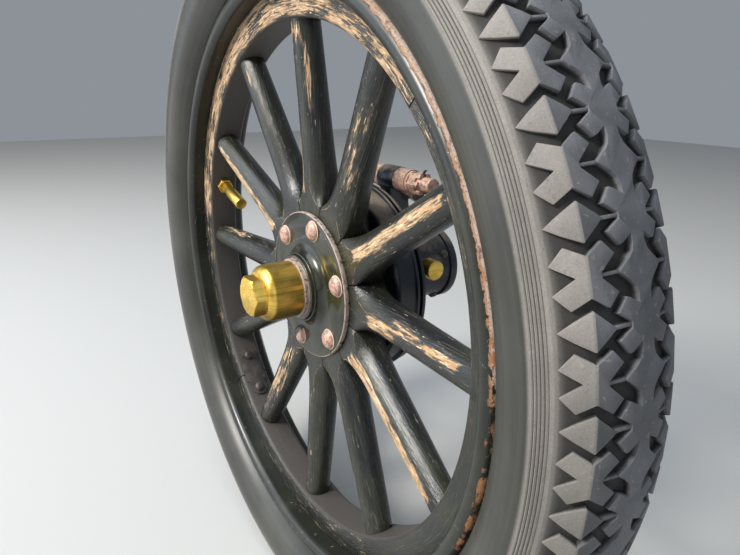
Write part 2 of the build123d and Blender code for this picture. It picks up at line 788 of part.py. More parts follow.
# Shackle: two links that hang from the perch's eye and hold the spring's eye between them
spring_spot = (perch_y + shackle_reach, perch_eye_height - shackle_drop)
link_middle = (perch_y + shackle_reach / 2, perch_eye_height - shackle_drop / 2)
with BuildPart() as shackle_links:
    with BuildSketch(Plane.YZ.offset(-link_back)):
        SlotCenterPoint(center=link_middle, point=spring_spot, height=2 * shackle_eye_radius)
        with Locations(eye_spot, spring_spot):
            Circle(shackle_hole_radius, mode=Mode.SUBTRACT)
    extrude(amount=-front_link_thickness)
    with BuildSketch(Plane.YZ.offset(link_back)):
        SlotCenterPoint(center=link_middle, point=spring_spot, height=2 * shackle_eye_radius)
        with Locations(eye_spot, spring_spot):
            Circle(shackle_hole_radius, mode=Mode.SUBTRACT)
    extrude(amount=rear_link_bar_thickness)
    with BuildSketch(Plane.YZ.offset(link_back)):
        with Locations(eye_spot):
            Circle(shackle_eye_radius)
            Circle(shackle_hole_radius, mode=Mode.SUBTRACT)
    extrude(amount=rear_link_thickness)
save(shackle_links, "shackle_links")

washer_seat = link_back + rear_link_thickness
nut_seat = washer_seat + shackle_washer_gauge
head_seat = -link_back - front_link_thickness
with BuildPart() as shackle_bolt:
    with BuildSketch(Plane.YZ.offset(head_seat)):
        with Locations(eye_spot):
            Circle(shackle_head_radius)
    extrude(amount=-shackle_head_length)
    with BuildSketch(Plane.YZ.offset(head_seat)):
        with Locations(eye_spot):
            Circle(shackle_bolt_radius)
    extrude(amount=nut_seat + shackle_nut_height + shackle_stud_length - head_seat)
save(shackle_bolt, "shackle_bolt")

with BuildPart() as shackle_washer:
    with BuildSketch(Plane.YZ.offset(washer_seat)):
        with Locations(eye_spot):
            Circle(shackle_washer_radius)
            Circle(shackle_bolt_radius + thread_clearance, mode=Mode.SUBTRACT)
    extrude(amount=shackle_washer_gauge)
save(shackle_washer, "shackle_washer")

with BuildPart() as shackle_nut:
    with BuildSketch(Plane.YZ.offset(nut_seat)):
        with Locations(eye_spot):
            RegularPolygon(corner_radius(shackle_nut_width), 6)
            Circle(shackle_bolt_radius + thread_clearance, mode=Mode.SUBTRACT)
    extrude(amount=shackle_nut_height)
save(shackle_nut, "shackle_nut")
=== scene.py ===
from contextlib import contextmanager
from math import atan2, cos, degrees, pi, radians, sin, sqrt

import bmesh
import bpy
from mathutils import Matrix, Vector


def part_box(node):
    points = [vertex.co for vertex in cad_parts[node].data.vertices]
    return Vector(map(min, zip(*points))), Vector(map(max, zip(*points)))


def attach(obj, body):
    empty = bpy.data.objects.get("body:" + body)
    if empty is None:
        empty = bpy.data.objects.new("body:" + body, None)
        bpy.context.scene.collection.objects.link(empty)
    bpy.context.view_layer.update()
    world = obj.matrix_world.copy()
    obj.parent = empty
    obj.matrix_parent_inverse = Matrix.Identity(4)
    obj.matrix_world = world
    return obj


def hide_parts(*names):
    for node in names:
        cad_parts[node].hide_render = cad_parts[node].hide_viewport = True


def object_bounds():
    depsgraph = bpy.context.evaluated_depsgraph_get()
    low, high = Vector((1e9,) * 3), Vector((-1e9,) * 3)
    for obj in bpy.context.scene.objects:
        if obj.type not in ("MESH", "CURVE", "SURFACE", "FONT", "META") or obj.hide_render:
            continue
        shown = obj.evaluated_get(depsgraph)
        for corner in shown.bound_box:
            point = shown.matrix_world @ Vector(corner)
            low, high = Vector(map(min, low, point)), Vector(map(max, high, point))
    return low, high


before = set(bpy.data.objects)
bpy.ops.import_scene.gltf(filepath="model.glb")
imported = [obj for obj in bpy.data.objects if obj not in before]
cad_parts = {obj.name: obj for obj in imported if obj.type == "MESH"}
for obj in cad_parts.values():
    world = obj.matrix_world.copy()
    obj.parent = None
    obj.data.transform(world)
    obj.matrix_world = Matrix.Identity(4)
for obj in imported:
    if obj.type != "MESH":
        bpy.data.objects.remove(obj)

cad_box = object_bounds()

bl_info = {
    "name": "Wooden Spoked Wheel",
    "version": (1, 0, 0),
    "blender": (4, 5, 0),
    "location": "3D View > Sidebar > Wheel",
    "description": "Dresses a wooden spoked wheel, its block-tread tyre and the axle end that carries it",
    "category": "Object",
}

# The axle's axis is Y. Outboard is -Y and up is +Z. A turn of 0 points to +X and grows towards +Z.
MM = 0.001
TYRE_LOW, TYRE_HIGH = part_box("tyre")
RIM_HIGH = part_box("rim")[1]
CAP_LOW, CAP_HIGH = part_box("hub_cap")
NUT_LOW, NUT_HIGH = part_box("shackle_nut")
NUT_MIDDLE = (NUT_LOW + NUT_HIGH) / 2
MIDDLE = (TYRE_LOW.y + TYRE_HIGH.y) / 2
SPOKE_COUNT = 12
# The turns of the first spoke and of the tread's first bow tie
SPOKE_TURN, TREAD_TURN = radians(0.8), radians(18.2)
PITCH = 2 * pi / SPOKE_COUNT

# Where the fine ribs on the tyre's sides start and end, and the distance from one to the next
RIB_START, RIB_END, RIB_PITCH = 348.8 * MM, 358.8 * MM, 2 * MM
# The radius of the rim's rolled edges, and how far their middles are from the middle plane
RIM_CURL = 8 * MM
RIM_SIDE = RIM_HIGH.y - MIDDLE - RIM_CURL
# The flat face of the hub's plate, on which the bolt heads sit
PLATE_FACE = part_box("hub_plate")[0].y + 10 * MM


def clamped(value):
    return min(max(value, 0), 1)


def ramp(value, low, high):
    """0 below low and 1 above high, with a soft step between; the other way round if low is the larger."""
    share = clamped((value - low) / (high - low))
    return share * share * (3 - 2 * share)


def bend_radius(run, rise):
    """The radius of an arc that leaves a line level and rises this much over this run."""
    return (run**2 + rise**2) / (2 * rise)


def deselect():
    bpy.ops.object.select_all(action="DESELECT")


def choose(piece):
    deselect()
    piece.select_set(True)
    bpy.context.view_layer.objects.active = piece


@contextmanager
def editing(piece):
    """Edit mode on one piece, with everything in it selected."""
    choose(piece)
    bpy.ops.object.mode_set(mode="EDIT")
    bpy.ops.mesh.select_mode(type="VERT")
    bpy.ops.mesh.select_all(action="SELECT")
    yield
    bpy.ops.object.mode_set(mode="OBJECT")


def pick(piece, kind, test):
    """In edit mode, selects the faces or edges, as kind says, that pass a test."""
    bpy.ops.mesh.select_all(action="DESELECT")
    bpy.ops.mesh.select_mode(type=kind[:-1].upper())
    mesh = bmesh.from_edit_mesh(piece.data)
    for part in getattr(mesh, kind):
        part.select_set(bool(test(part)))
    mesh.select_flush_mode()
    bmesh.update_edit_mesh(piece.data)


def apply(piece, kind, **settings):
    """Adds a modifier with these settings and applies it."""
    choose(piece)
    modifier = piece.modifiers.new(kind.title(), kind)
    for name, value in settings.items():
        setattr(modifier, name, value)
    bpy.ops.object.modifier_apply(modifier=modifier.name)


def soften(piece, width, segments=2, angle=30):
    apply(piece, "BEVEL", width=width, segments=segments, limit_method="ANGLE", angle_limit=radians(angle))


def combine(piece, operation, other):
    """Cuts a piece by another, keeps what they share or adds the other to it, and removes the other."""
    apply(piece, "BOOLEAN", operation=operation, object=other, solver="EXACT")
    bpy.data.objects.remove(other)


def settle(piece):
    """Moves the object's place into its mesh."""
    choose(piece)
    bpy.ops.object.transform_apply(location=True, rotation=True, scale=True)


def mend(piece):
    """Merges doubles and turns the faces outwards."""
    with editing(piece):
        bpy.ops.mesh.remove_doubles(threshold=1e-6)
        bpy.ops.mesh.normals_make_consistent(inside=False)


def copied(piece, name):
    choose(piece)
    bpy.ops.object.duplicate(linked=False)
    copy = bpy.context.active_object
    copy.name = name
    return copy


def joined(name, pieces):
    deselect()
    for piece in pieces:
        piece.select_set(True)
    bpy.context.view_layer.objects.active = pieces[0]
    bpy.ops.object.join()
    pieces[0].name = name
    return pieces[0]


def finished(piece, slot, *nodes, body="wheel", coat=None, smooth=35):
    choose(piece)
    bpy.ops.object.shade_smooth_by_angle(angle=radians(smooth))
    piece.data.materials.clear()
    piece.data.materials.append(finish(coat or slot))
    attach(piece, body)
    if nodes:
        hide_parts(*nodes)


def outline(name, points, closed=True, filled=False):
    """A ring of edges, added as a circle whose vertices are then moved to the outline's points."""
    deselect()
    bpy.ops.mesh.primitive_circle_add(
        vertices=len(points), radius=0.01, fill_type="NGON" if filled else "NOTHING"
    )
    piece = bpy.context.active_object
    piece.name = name
    with editing(piece):
        mesh = bmesh.from_edit_mesh(piece.data)
        mesh.verts.ensure_lookup_table()
        for vertex, point in zip(mesh.verts, points):
            vertex.co = point
        bmesh.update_edit_mesh(piece.data)
        if not closed:
            ends = {0, len(points) - 1}
            pick(piece, "edges", lambda edge: {vertex.index for vertex in edge.verts} == ends)
            bpy.ops.mesh.delete(type="EDGE_FACE")
    return piece


def round_point(radius, along, turn):
    """The point this far from the axle's axis and this far inboard of the tyre's middle plane."""
    return Vector((radius * cos(turn), MIDDLE + along, radius * sin(turn)))


def arc(centre, radius, start, end, steps):
    """Points (radius, along) of an arc in a section; the angles run from +radius to +along."""
    angles = [radians(start + (end - start) * number / steps) for number in range(steps + 1)]
    return [(centre[0] + radius * cos(a), centre[1] + radius * sin(a)) for a in angles]


def mirrored(half):
    """Half a section, from the middle plane and back to it, with its mirror image added."""
    return half + [(a, -b) for a, b in reversed(half[1:-1])]


def spun(name, section, steps, start=0.0, angle=2 * pi):
    """A section of (radius, along) points spun round the axle's axis, with faces at its ends if it has any.

    A section is a ring unless it starts on the axis, and then it ends there too.
    """
    points = [round_point(radius, along, start) for radius, along in section]
    piece = outline(name, points, closed=section[0][0] > 0)
    with editing(piece):
        bpy.ops.mesh.spin(steps=steps, angle=angle, center=(0, MIDDLE, 0), axis=(0, -1, 0))
    if angle < 2 * pi:
        with editing(piece):
            bpy.ops.mesh.select_all(action="DESELECT")
            bpy.ops.mesh.select_mode(type="EDGE")
            bpy.ops.mesh.select_non_manifold(extend=False, use_wire=False, use_boundary=True)
            bpy.ops.mesh.edge_face_add()
    mend(piece)
    return piece


def rounded(point):
    return tuple(round(part, 7) for part in point)


def skinned(name, rings):
    """A closed solid through rings of points: the first ring is extruded to each next one."""
    piece = outline(name, rings[0], filled=True)
    with editing(piece):
        for before, after in zip(rings, rings[1:]):
            bpy.ops.mesh.extrude_region_move()
            mesh = bmesh.from_edit_mesh(piece.data)
            places = {rounded(point): number for number, point in enumerate(before)}
            for vertex in [v for v in mesh.verts if v.select]:
                vertex.co = after[places[rounded(vertex.co)]]
            bmesh.update_edit_mesh(piece.data)
    mend(piece)
    return piece


def turned_copies(piece, name, count, first=0.0):
    """A piece copied all round the axle's axis and joined into one mesh."""
    copies = []
    for number in range(count):
        copy = copied(piece, f"{name}_{number}")
        copy.matrix_world = Matrix.Rotation(-(first + number * 2 * pi / count), 4, "Y") @ piece.matrix_world
        settle(copy)
        copies.append(copy)
    bpy.data.objects.remove(piece)
    return joined(name, copies)


def dressed_copy(node, name, width, segments=2):
    """A CAD node's copy, its triangles merged into faces and its edges bevelled by so many millimetres."""
    piece = bpy.data.objects.new(name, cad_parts[node].data.copy())
    bpy.context.scene.collection.objects.link(piece)
    with editing(piece):
        bpy.ops.mesh.remove_doubles(threshold=2e-6)
        bpy.ops.mesh.dissolve_limited(angle_limit=radians(1))
    if width:
        soften(piece, width * MM, segments)
    return piece


def dress(node, name, slot, width, segments=2, **settings):
    """Replaces a CAD node by its dressed copy."""
    finished(dressed_copy(node, name, width, segments), slot, node, **settings)


def store(piece, **layers):
    """Stores one number or vector for each point, by name, for the finishes to read."""
    for name, values in layers.items():
        if isinstance(values[0], (tuple, Vector)):
            layer = piece.data.attributes.new(name, "FLOAT_VECTOR", "POINT")
            layer.data.foreach_set("vector", [part for value in values for part in value])
        else:
            layer = piece.data.attributes.new(name, "FLOAT", "POINT")
            layer.data.foreach_set("value", values)


def maths(operation, reflected=False):
    """A method of Value that adds a Math node; a reflected operator's terms change places."""

    def method(self, *others):
        terms = (*others, self) if reflected else (self, *others)
        return self.finish.node("ShaderNodeMath", {"operation": operation}, dict(enumerate(terms)))

    return method


class Value:
    """A shader socket in an expression: each sum or product on it adds its Math nodes."""

    __add__ = __radd__ = maths("ADD")
    __sub__, __rsub__ = maths("SUBTRACT"), maths("SUBTRACT", reflected=True)
    __mul__ = __rmul__ = maths("MULTIPLY")
    __truediv__, __rtruediv__ = maths("DIVIDE"), maths("DIVIDE", reflected=True)
    least, most = maths("MINIMUM"), maths("MAXIMUM")
    root, size, zigzag = maths("SQRT"), maths("ABSOLUTE"), maths("PINGPONG")

    def __init__(self, finish, socket):
        self.finish = finish
        self.socket = socket

    def __neg__(self):
        return self * -1

    def rise(self, low, high):
        """The same soft step as ramp's, in nodes."""
        return self.finish.node(
            "ShaderNodeMapRange", {"interpolation_type": "SMOOTHSTEP"}, {0: self, 1: low, 2: high}
        )


class Finish:
    """A material under construction, with the object's own coordinates at hand."""

    def __init__(self, name):
        self.material = bpy.data.materials.new(f"{name}_finish")
        self.material.use_nodes = True
        self.tree = self.material.node_tree
        self.shader = self.tree.nodes["Principled BSDF"]
        self.place = self.node("ShaderNodeTexCoord", output="Object")
        self.x, self.y, self.z = self.parts(self.place)

    def node(self, kind, settings=None, sockets=None, output=0):
        """Adds a node of a type, with its settings and then the values or links of its sockets."""
        made = self.tree.nodes.new(kind)
        for name, value in (settings or {}).items():
            setattr(made, name, value)
        for name, value in (sockets or {}).items():
            self.feed(made.inputs[name], value)
        return Value(self, made.outputs[output])

    def feed(self, socket, value):
        if isinstance(value, Value):
            self.tree.links.new(value.socket, socket)
        else:
            socket.default_value = value

    def parts(self, vector):
        made = self.node("ShaderNodeSeparateXYZ", sockets={0: vector}).socket.node
        return [Value(self, socket) for socket in made.outputs]

    def vector(self, x, y, z):
        return self.node("ShaderNodeCombineXYZ", sockets={0: x, 1: y, 2: z})

    def stretched(self, vector, scale):
        return self.node("ShaderNodeVectorMath", {"operation": "MULTIPLY"}, {0: vector, 1: scale})

    def stored(self, name, output="Fac"):
        """What the mesh stores for its points under this name."""
        return self.node("ShaderNodeAttribute", {"attribute_name": name}, output=output)

    def upward(self):
        """How far the surface faces up, from -1 to 1."""
        return self.parts(self.node("ShaderNodeNewGeometry", output="Normal"))[2]

    def noise(self, vector, detail, rough=0.55, bend=0.0, scale=1.0):
        sockets = {"Vector": vector, "Scale": scale, "Detail": detail, "Roughness": rough, "Distortion": bend}
        return self.node("ShaderNodeTexNoise", sockets=sockets)

    def spots(self, scale, detail, rough):
        """Noise on the object's own coordinates."""
        return self.noise(self.place, detail, rough, scale=scale)

    def cells(self, vector, scale, feature="F1"):
        return self.node("ShaderNodeTexVoronoi", {"feature": feature}, {"Vector": vector, "Scale": scale})

    def mix(self, share, first, second):
        """Two colours mixed by a share of the second."""
        first, second = [c if isinstance(c, Value) else (*c[:3], 1) for c in (first, second)]
        return self.node("ShaderNodeMix", {"data_type": "RGBA"}, {0: share, 6: first, 7: second}, 2)

    def done(self, colour, rough, bump=None, metallic=0.0):
        """Feeds the shader; a bump is its height, its distance in millimetres and its strength."""
        base = colour if isinstance(colour, Value) else (*colour[:3], 1)
        fed = {"Base Color": base, "Roughness": rough, "Metallic": metallic}
        if bump:
            height, distance, strength = bump
            sockets = {"Height": height, "Distance": distance * MM, "Strength": strength}
            fed["Normal"] = self.node("ShaderNodeBump", sockets=sockets)
        for name, value in fed.items():
            self.feed(self.shader.inputs[name], value)
        return self.material


def from_axis(finish):
    """The distance from the axle's axis, and the two parts of the direction away from it."""
    radius = (finish.x * finish.x + finish.z * finish.z).root()
    return radius, finish.x / radius, finish.z / radius


def rubber_finish():
    """Faded rubber, with pale dust on the shoulders, grey-blue dust on the crown whose tint is painted shade,
    and grime with painted shade in the crown's grooves and the side ribs' valleys.
    """
    look = bpy.context.scene.wheel_tyre
    rubber = Finish("tyre_rubber")
    radius, across, up = from_axis(rubber)
    along = (rubber.y - MIDDLE).size()
    slope = (look.shoulder_drop - look.crease_drop) / (look.shoulder - look.crease)
    crown = TYRE_HIGH.x - along * along * (1 / (210 * MM))
    side = TYRE_HIGH.x - look.crease_drop - (along - look.crease) * slope
    depth = crown.least(side) - radius
    rings = rubber.noise(rubber.vector(across * 1.5, up * 1.5, radius * 260), 5)
    patches = rubber.spots(11, 5, 0.6)
    grit = rubber.spots(520, 4, 0.7)
    specks = rubber.spots(260, 2, 0.5)
    sand = rubber.spots(900, 3, 0.75)
    dusty = radius.rise(346 * MM, 349.5 * MM) * (0.72 + patches.rise(0.35, 0.65) * 0.28)
    shoulder = along.rise(33.5 * MM, 36.5 * MM)
    # Grey-blue dust on the crown; its bluish tone is painted shade, as of a surface lit only by the sky.
    crown_dust_and_shade = (1 - shoulder) * dusty * (0.55 + patches.rise(0.35, 0.7) * 0.35)
    ribs = radius - RIB_START
    last = RIB_END - RIB_START
    # Darkens the valleys between the side ribs: painted shade, with some grime.
    rib_valley_grime_and_shade = 1 - ribs.zigzag(RIB_PITCH / 2).rise(0.15 * MM, 0.55 * MM)
    ribbed = ribs.rise(0, 0.2 * MM) * (1 - ribs.rise(last - 0.2 * MM, last))
    # Darkens the crown's grooves and their walls by depth: painted shade.
    groove_shade = depth.rise(1.4 * MM, 3.6 * MM) * radius.rise(354 * MM, 366 * MM)
    colour = rubber.mix((patches * 0.6 + rings * 0.5).rise(0.42, 0.75), look.rubber, look.sheen)
    colour = rubber.mix(dusty * shoulder * (0.35 + sand * 0.7), colour, look.dust)
    colour = rubber.mix(crown_dust_and_shade, colour, look.crown_dust_and_shade)
    colour = rubber.mix(specks.rise(0.66, 0.72) * dusty * 0.5, colour, look.dust)
    colour = rubber.mix(grit.rise(0.58, 0.72) * dusty * 0.45, colour, look.dirt_and_shade)
    colour = rubber.mix(rib_valley_grime_and_shade * ribbed * 0.75, colour, look.dirt_and_shade)
    colour = rubber.mix(groove_shade * 0.92, colour, look.dirt_and_shade)
    rough = 0.36 + dusty * 0.42 + grit * 0.06
    return rubber.done(colour, rough, (rings * 0.3 + grit * (0.4 + dusty), 0.4, 0.45))


def wood_finish():
    """Gloss paint over wood; stored values say where it is worn, where an edge runs and where it is dull."""
    look = bpy.context.scene.wheel_wood
    wood = Finish("painted_wood")
    grain = wood.stored("grain", "Vector")
    wear, edge, dull = [wood.stored(name) for name in ("wear", "edge", "dull")]

    def fibrous(along, across, detail, rough, bend=0.0):
        return wood.noise(wood.stretched(grain, (along, across, across)), detail, rough, bend)

    fibres = fibrous(26, 800, 4, 0.6, 0.3)
    streaks = fibrous(26, 240, 9, 0.72, 0.4)
    places = fibrous(15, 42, 4, 0.55)
    flecks = fibrous(60, 620, 5, 0.65, 0.3)
    pattern = streaks * 0.68 + places * 0.32
    level = 0.74 - look.wear * 0.06 - wear * 0.29
    worn = (pattern - level).rise(0.0, 0.014)
    worn = worn.most((flecks - (0.69 - wear * 0.10)).rise(0.0, 0.02) * (wear * 2).least(1))
    worn = worn.most(edge.rise(0.90, 0.96) * (places * 0.5 + streaks * 0.5).rise(0.48, 0.56) * 0.6)
    worn = worn * (1 - dull)
    bare = wood.mix(fibres.rise(0.40, 0.60), look.bare_dark, look.bare_pale)
    bare = wood.mix(places.rise(0.45, 0.62) * 0.5, bare, look.bare_pink)
    bare = wood.mix(flecks.rise(0.55, 0.62) * 0.8, bare, look.flake)
    bare = wood.mix(fibres.rise(0.53, 0.58) * 0.85, bare, look.paint)
    thin = (pattern - level + 0.06).rise(0.0, 0.06)
    paint = wood.mix(places.rise(0.35, 0.65), look.paint, look.thin_paint)
    paint = wood.mix(thin * 0.45, paint, look.scuffed)
    paint = wood.mix(fibres.rise(0.58, 0.64) * (0.25 + wear * 0.4), paint, look.scuffed)
    colour = wood.mix(dull * 0.85, wood.mix(worn, paint, bare), look.dull)
    height = fibres * 0.55 + streaks * 0.35 - worn * 0.8
    rough = 0.23 + thin * 0.12 + worn * 0.40 + dull * 0.4
    return wood.done(colour, rough, (height, 1.1, 0.8))


def scratched(finish, reach=1.0):
    """Thin scratches running every way, from 0 to 1."""
    lines = finish.cells(finish.place, 34 * reach, "DISTANCE_TO_EDGE")
    broken = finish.spots(130, 4, 0.7)
    return (1 - lines.rise(0.004, 0.012)) * broken.rise(0.58, 0.66)


def rim_finish():
    """Gloss paint; the curl's crest is rubbed bare towards the upper rear and rusty below that."""
    look = bpy.context.scene.wheel_paint
    paint = Finish("rim_paint")
    radius, across, up = from_axis(paint)
    along = (paint.y - MIDDLE).size()
    ragged = paint.noise(paint.vector(across * 26, up * 26, radius * 340), 8, 0.75)
    patches = paint.spots(45, 4, 0.6)
    dust = paint.spots(16, 5, 0.6)
    speckle = paint.spots(700, 5, 0.7)
    height = radius + (ragged - 0.5) * (8 * MM)
    crest = height.rise(RIM_HIGH.x - 3.3 * MM, RIM_HIGH.x - 2.8 * MM)
    crest = crest * along.rise(RIM_SIDE - 1 * MM, RIM_SIDE)
    high = (across * 0.77 + up * 0.64).rise(0.72, 0.98)
    rear = across.rise(0.60, 0.96)
    bare = crest * (ragged * 0.55 + patches * 0.45 + high * 0.15 + rear * 0.06).rise(0.57, 0.60)
    chips = (ragged * 0.7 + patches * 0.3).rise(0.625, 0.645) * 0.6
    metal = paint.mix((high * 1.2 - patches.rise(0.50, 0.60) * 0.7).rise(0.2, 0.7), look.rust, look.bare)
    metal = paint.mix((1 - (radius - RIM_HIGH.x).rise(-2.4 * MM, -1.6 * MM)) * 0.8, metal, look.rust)
    metal = paint.mix(speckle.rise(0.52, 0.60) * 0.6, metal, look.rust_dark)
    metal = paint.mix(ragged.rise(0.56, 0.62) * 0.8, metal, look.rust_dark)
    colour = paint.mix(dust.rise(0.40, 0.75) * 0.45, look.black, look.dust)
    colour = paint.mix(bare, colour, metal)
    colour = paint.mix(chips * (1 - bare) * 0.7, colour, look.chipped)
    colour = paint.mix(scratched(paint) * 0.6, colour, look.bare)
    rough = 0.24 + dust * 0.16 + bare * 0.36 + chips * 0.2
    return paint.done(colour, rough, (dust * 0.6 - bare, 0.7, 0.3))


def hub_finish():
    """Gloss paint on the hub with patches of a greenish painted reflection, rubbed to pinkish metal on the
    plate's edge and lip and the ring at the cap.
    """
    look = bpy.context.scene.wheel_paint
    paint = Finish("hub_paint")
    radius = from_axis(paint)[0]
    along = paint.y - MIDDLE
    ragged = paint.spots(170, 6, 0.7)
    dust = paint.spots(30, 5, 0.6)
    edge = radius.rise(77.6 * MM, 78.5 * MM) * (1 - along.rise(-1.5 * MM, 0.5 * MM))
    ring = 1 - along.rise(-20.6 * MM, -19.8 * MM)
    lip = radius.rise(46.0 * MM, 46.9 * MM) * (1 - radius.rise(48.0 * MM, 48.9 * MM))
    lip = lip * (1 - along.rise(-8 * MM, -7.4 * MM))
    worn = (edge * 0.8 + ring * 0.6 + lip * 0.35).least(1) * ragged.rise(0.36, 0.50)
    chips = (ragged * 0.8 + dust * 0.2).rise(0.64, 0.66)
    # The greenish tint laid in patches here is a painted reflection; the same noise also makes the paint
    # rougher.
    colour = paint.mix(dust.rise(0.35, 0.7) * 0.6, look.black, look.olive_reflection)
    colour = paint.mix(worn, colour, look.bare)
    colour = paint.mix((chips * 0.7).most(scratched(paint, 1.6) * 0.5), colour, look.chipped)
    rough = 0.16 + dust * 0.12 + worn * 0.3 + chips * 0.3
    return paint.done(colour, rough, (dust - worn * 0.4, 0.7, 0.25))


def brass_finish():
    """Brass with marks drawn along it, painted shade on its lower side, and a pitted outer face."""
    look = bpy.context.scene.wheel_metal
    brass = Finish("brass")
    _, across, up = from_axis(brass)
    face = 1 - (brass.y - CAP_LOW.y).rise(0.6 * MM, 1.2 * MM)

    def drawn(around, along):
        """Marks along the axle, evened out on the outer face."""
        marks = brass.noise(brass.vector(across * around, up * around, brass.y * along), 5, 0.65)
        return 0.5 + (marks - 0.5) * (1 - face)

    broad, fine = drawn(9, 9), drawn(15, 14)
    tarnish = brass.spots(60, 6, 0.65)
    grain = face * (1 - brass.cells(brass.place, 520).rise(0.22, 0.42))
    # Darker marks along the brass, and painted shade on the cap's lower side.
    dark = (fine.rise(0.50, 0.62) * 0.40).most((-up).rise(0.1, 0.8) * 0.9)
    colour = brass.mix((tarnish * 0.6 + broad * 0.5).rise(0.48, 0.72), look.brass, look.tarnish)
    colour = brass.mix(dark, colour, look.dark_tarnish_and_shade)
    colour = brass.mix(face * 0.6, colour, look.brass)
    colour = brass.mix(grain * 0.8, colour, look.dark_tarnish_and_shade)
    rough = 0.27 + tarnish * 0.14 + face * 0.14
    height = fine * 0.4 * (1 - face) + grain * 1.4 + tarnish * 0.2
    return brass.done(colour, rough, (height, 0.6, 0.6), metallic=1.0)


def bolt_finish():
    """Pinkish metal, paler on its rubbed edges, with a painted highlight on what faces up and paint left
    where the mesh stores it.
    """
    look = bpy.context.scene.wheel_metal
    bolt = Finish("worn_bolt")
    edge, paint = bolt.stored("edge"), bolt.stored("paint")
    patches = bolt.spots(230, 6, 0.7)
    pits = bolt.spots(520, 3, 0.6)
    dark = (pits.rise(0.60, 0.66) * 0.5).most(patches.rise(0.64, 0.67))
    # Paler on the rubbed edges, and a painted highlight on what faces up.
    pale = edge.most((bolt.upward() * 0.6 + patches).rise(0.75, 1.15) * 0.6)
    left = (paint + (patches - 0.5) * 0.9).rise(0.45, 0.52)
    colour = bolt.mix(patches.rise(0.40, 0.56), look.bolt_shade, look.bolt)
    colour = bolt.mix(dark, colour, look.bolt_dark)
    colour = bolt.mix(pale, colour, look.bolt_pale_and_highlight)
    colour = bolt.mix(left, colour, look.bolt_dark)
    rough = 0.40 + pits * 0.16 - left * 0.2
    return bolt.done(colour, rough, (pits * 0.5 + patches, 0.4, 0.3), metallic=0.15)


def steel_finish():
    look = bpy.context.scene.wheel_metal
    steel = Finish("dull_steel")
    stains = steel.spots(90, 5, 0.6)
    colour = steel.mix(stains.rise(0.35, 0.75), look.steel, look.steel_dust)
    colour = steel.mix(scratched(steel, 2.5) * 0.5, colour, look.bolt_shade)
    return steel.done(colour, 0.42 + stains * 0.2, (stains, 0.5, 0.35), metallic=0.3)


def axle_finish():
    """Blue-black paint with road dust lying on what faces up."""
    look = bpy.context.scene.wheel_paint
    paint = Finish("axle_paint")
    dust = paint.spots(38, 7, 0.68)
    cast = paint.spots(260, 4, 0.6)
    lying = (dust * 0.55 + paint.upward() * 0.30).rise(0.40, 0.62)
    colour = paint.mix(lying * 0.8, look.axle, look.road_dust)
    colour = paint.mix(cast.rise(0.60, 0.68) * lying * 0.6, colour, look.axle)
    return paint.done(colour, 0.3 + lying * 0.45, (cast * 0.7 + dust, 0.6, 0.35))


def bright_finish():
    look = bpy.context.scene.wheel_metal
    steel = Finish("bright_steel")
    _, across, up = from_axis(steel)
    turned = steel.noise(steel.vector(across * 2, up * 2, steel.y * 1200), 3)
    return steel.done(look.bright, 0.28 + turned * 0.15, (turned, 0.2, 0.4), metallic=1.0)


FINISHES = {
    "tyre_rubber": rubber_finish,
    "painted_wood": wood_finish,
    "rim_paint": rim_finish,
    "hub_paint": hub_finish,
    "brass": brass_finish,
    "worn_bolt": bolt_finish,
    "dull_steel": steel_finish,
    "axle_paint": axle_finish,
    "bright_steel": bright_finish,
}


def finish(name):
    """A finish by its name, made when it is first asked for."""
    return bpy.data.materials.get(f"{name}_finish") or FINISHES[name]()


def tint(name, what, value):
    return bpy.props.FloatVectorProperty(
        name=name, description=f"Colour of {what}", subtype="COLOR", size=3, min=0, max=1, default=value
    )


def length(name, description, value):
    return bpy.props.FloatProperty(name=name, description=description, unit="LENGTH", default=value * MM)


class TyreSettings(bpy.types.PropertyGroup):
    repeats: bpy.props.IntProperty(
        name="Repeats", description="How often the tread's pattern repeats round the tyre", default=42
    )
    groove: length("Groove depth", "Depth of the grooves on the crown", 4.8)
    edge_groove: length("Edge groove depth", "Depth of the grooves at the blocks' outer tips", 1.5)
    crease: length("Crease", "Half width of the crown, where the blocks have a crease", 35.0)
    crease_drop: length("Crease drop", "How far the crease lies inside the tyre's radius", 6.0)
    shoulder: length("Shoulder", "Half width of the tread at its shoulder", 47.5)
    shoulder_drop: length("Shoulder drop", "How far the shoulder lies inside the tyre's radius", 20.5)
    rubber: tint("Rubber", "the clean rubber", (0.022, 0.022, 0.018))
    sheen: tint("Sheen", "the rubber where it is a little faded", (0.045, 0.044, 0.036))
    dust: tint("Dust", "the dry dust on the shoulders", (0.29, 0.265, 0.24))
    # Its bluish tone is partly painted shade, as of a crown lit only by the sky.
    crown_dust_and_shade: tint("Crown dust", "the dust on the crown", (0.15, 0.155, 0.17))
    # This colour also paints shade in the crown's grooves and the side ribs' valleys.
    dirt_and_shade: tint("Dirt", "the dirt down in the grooves", (0.013, 0.012, 0.011))


class WoodSettings(bpy.types.PropertyGroup):
    wear: bpy.props.FloatProperty(
        name="Wear", description="How much of the paint is worn off", subtype="FACTOR",
        min=0, max=1, default=0.5,
    )
    paint: tint("Paint", "the thick paint", (0.010, 0.011, 0.011))
    thin_paint: tint("Thin paint", "the paint where it is thin", (0.020, 0.021, 0.012))
    scuffed: tint("Scuffed paint", "the paint next to what is worn off", (0.13, 0.115, 0.10))
    bare_pale: tint("Pale wood", "the bare wood's pale fibres", (0.72, 0.50, 0.28))
    bare_dark: tint("Dark wood", "the bare wood's dark fibres", (0.33, 0.185, 0.085))
    flake: tint("Pale flakes", "the palest flakes of bare wood", (0.90, 0.70, 0.45))
    bare_pink: tint("Pink wood", "the bare wood where primer is left", (0.44, 0.29, 0.20))
    dull: tint("Dull paint", "the dull paint inside the felloe", (0.060, 0.050, 0.044))


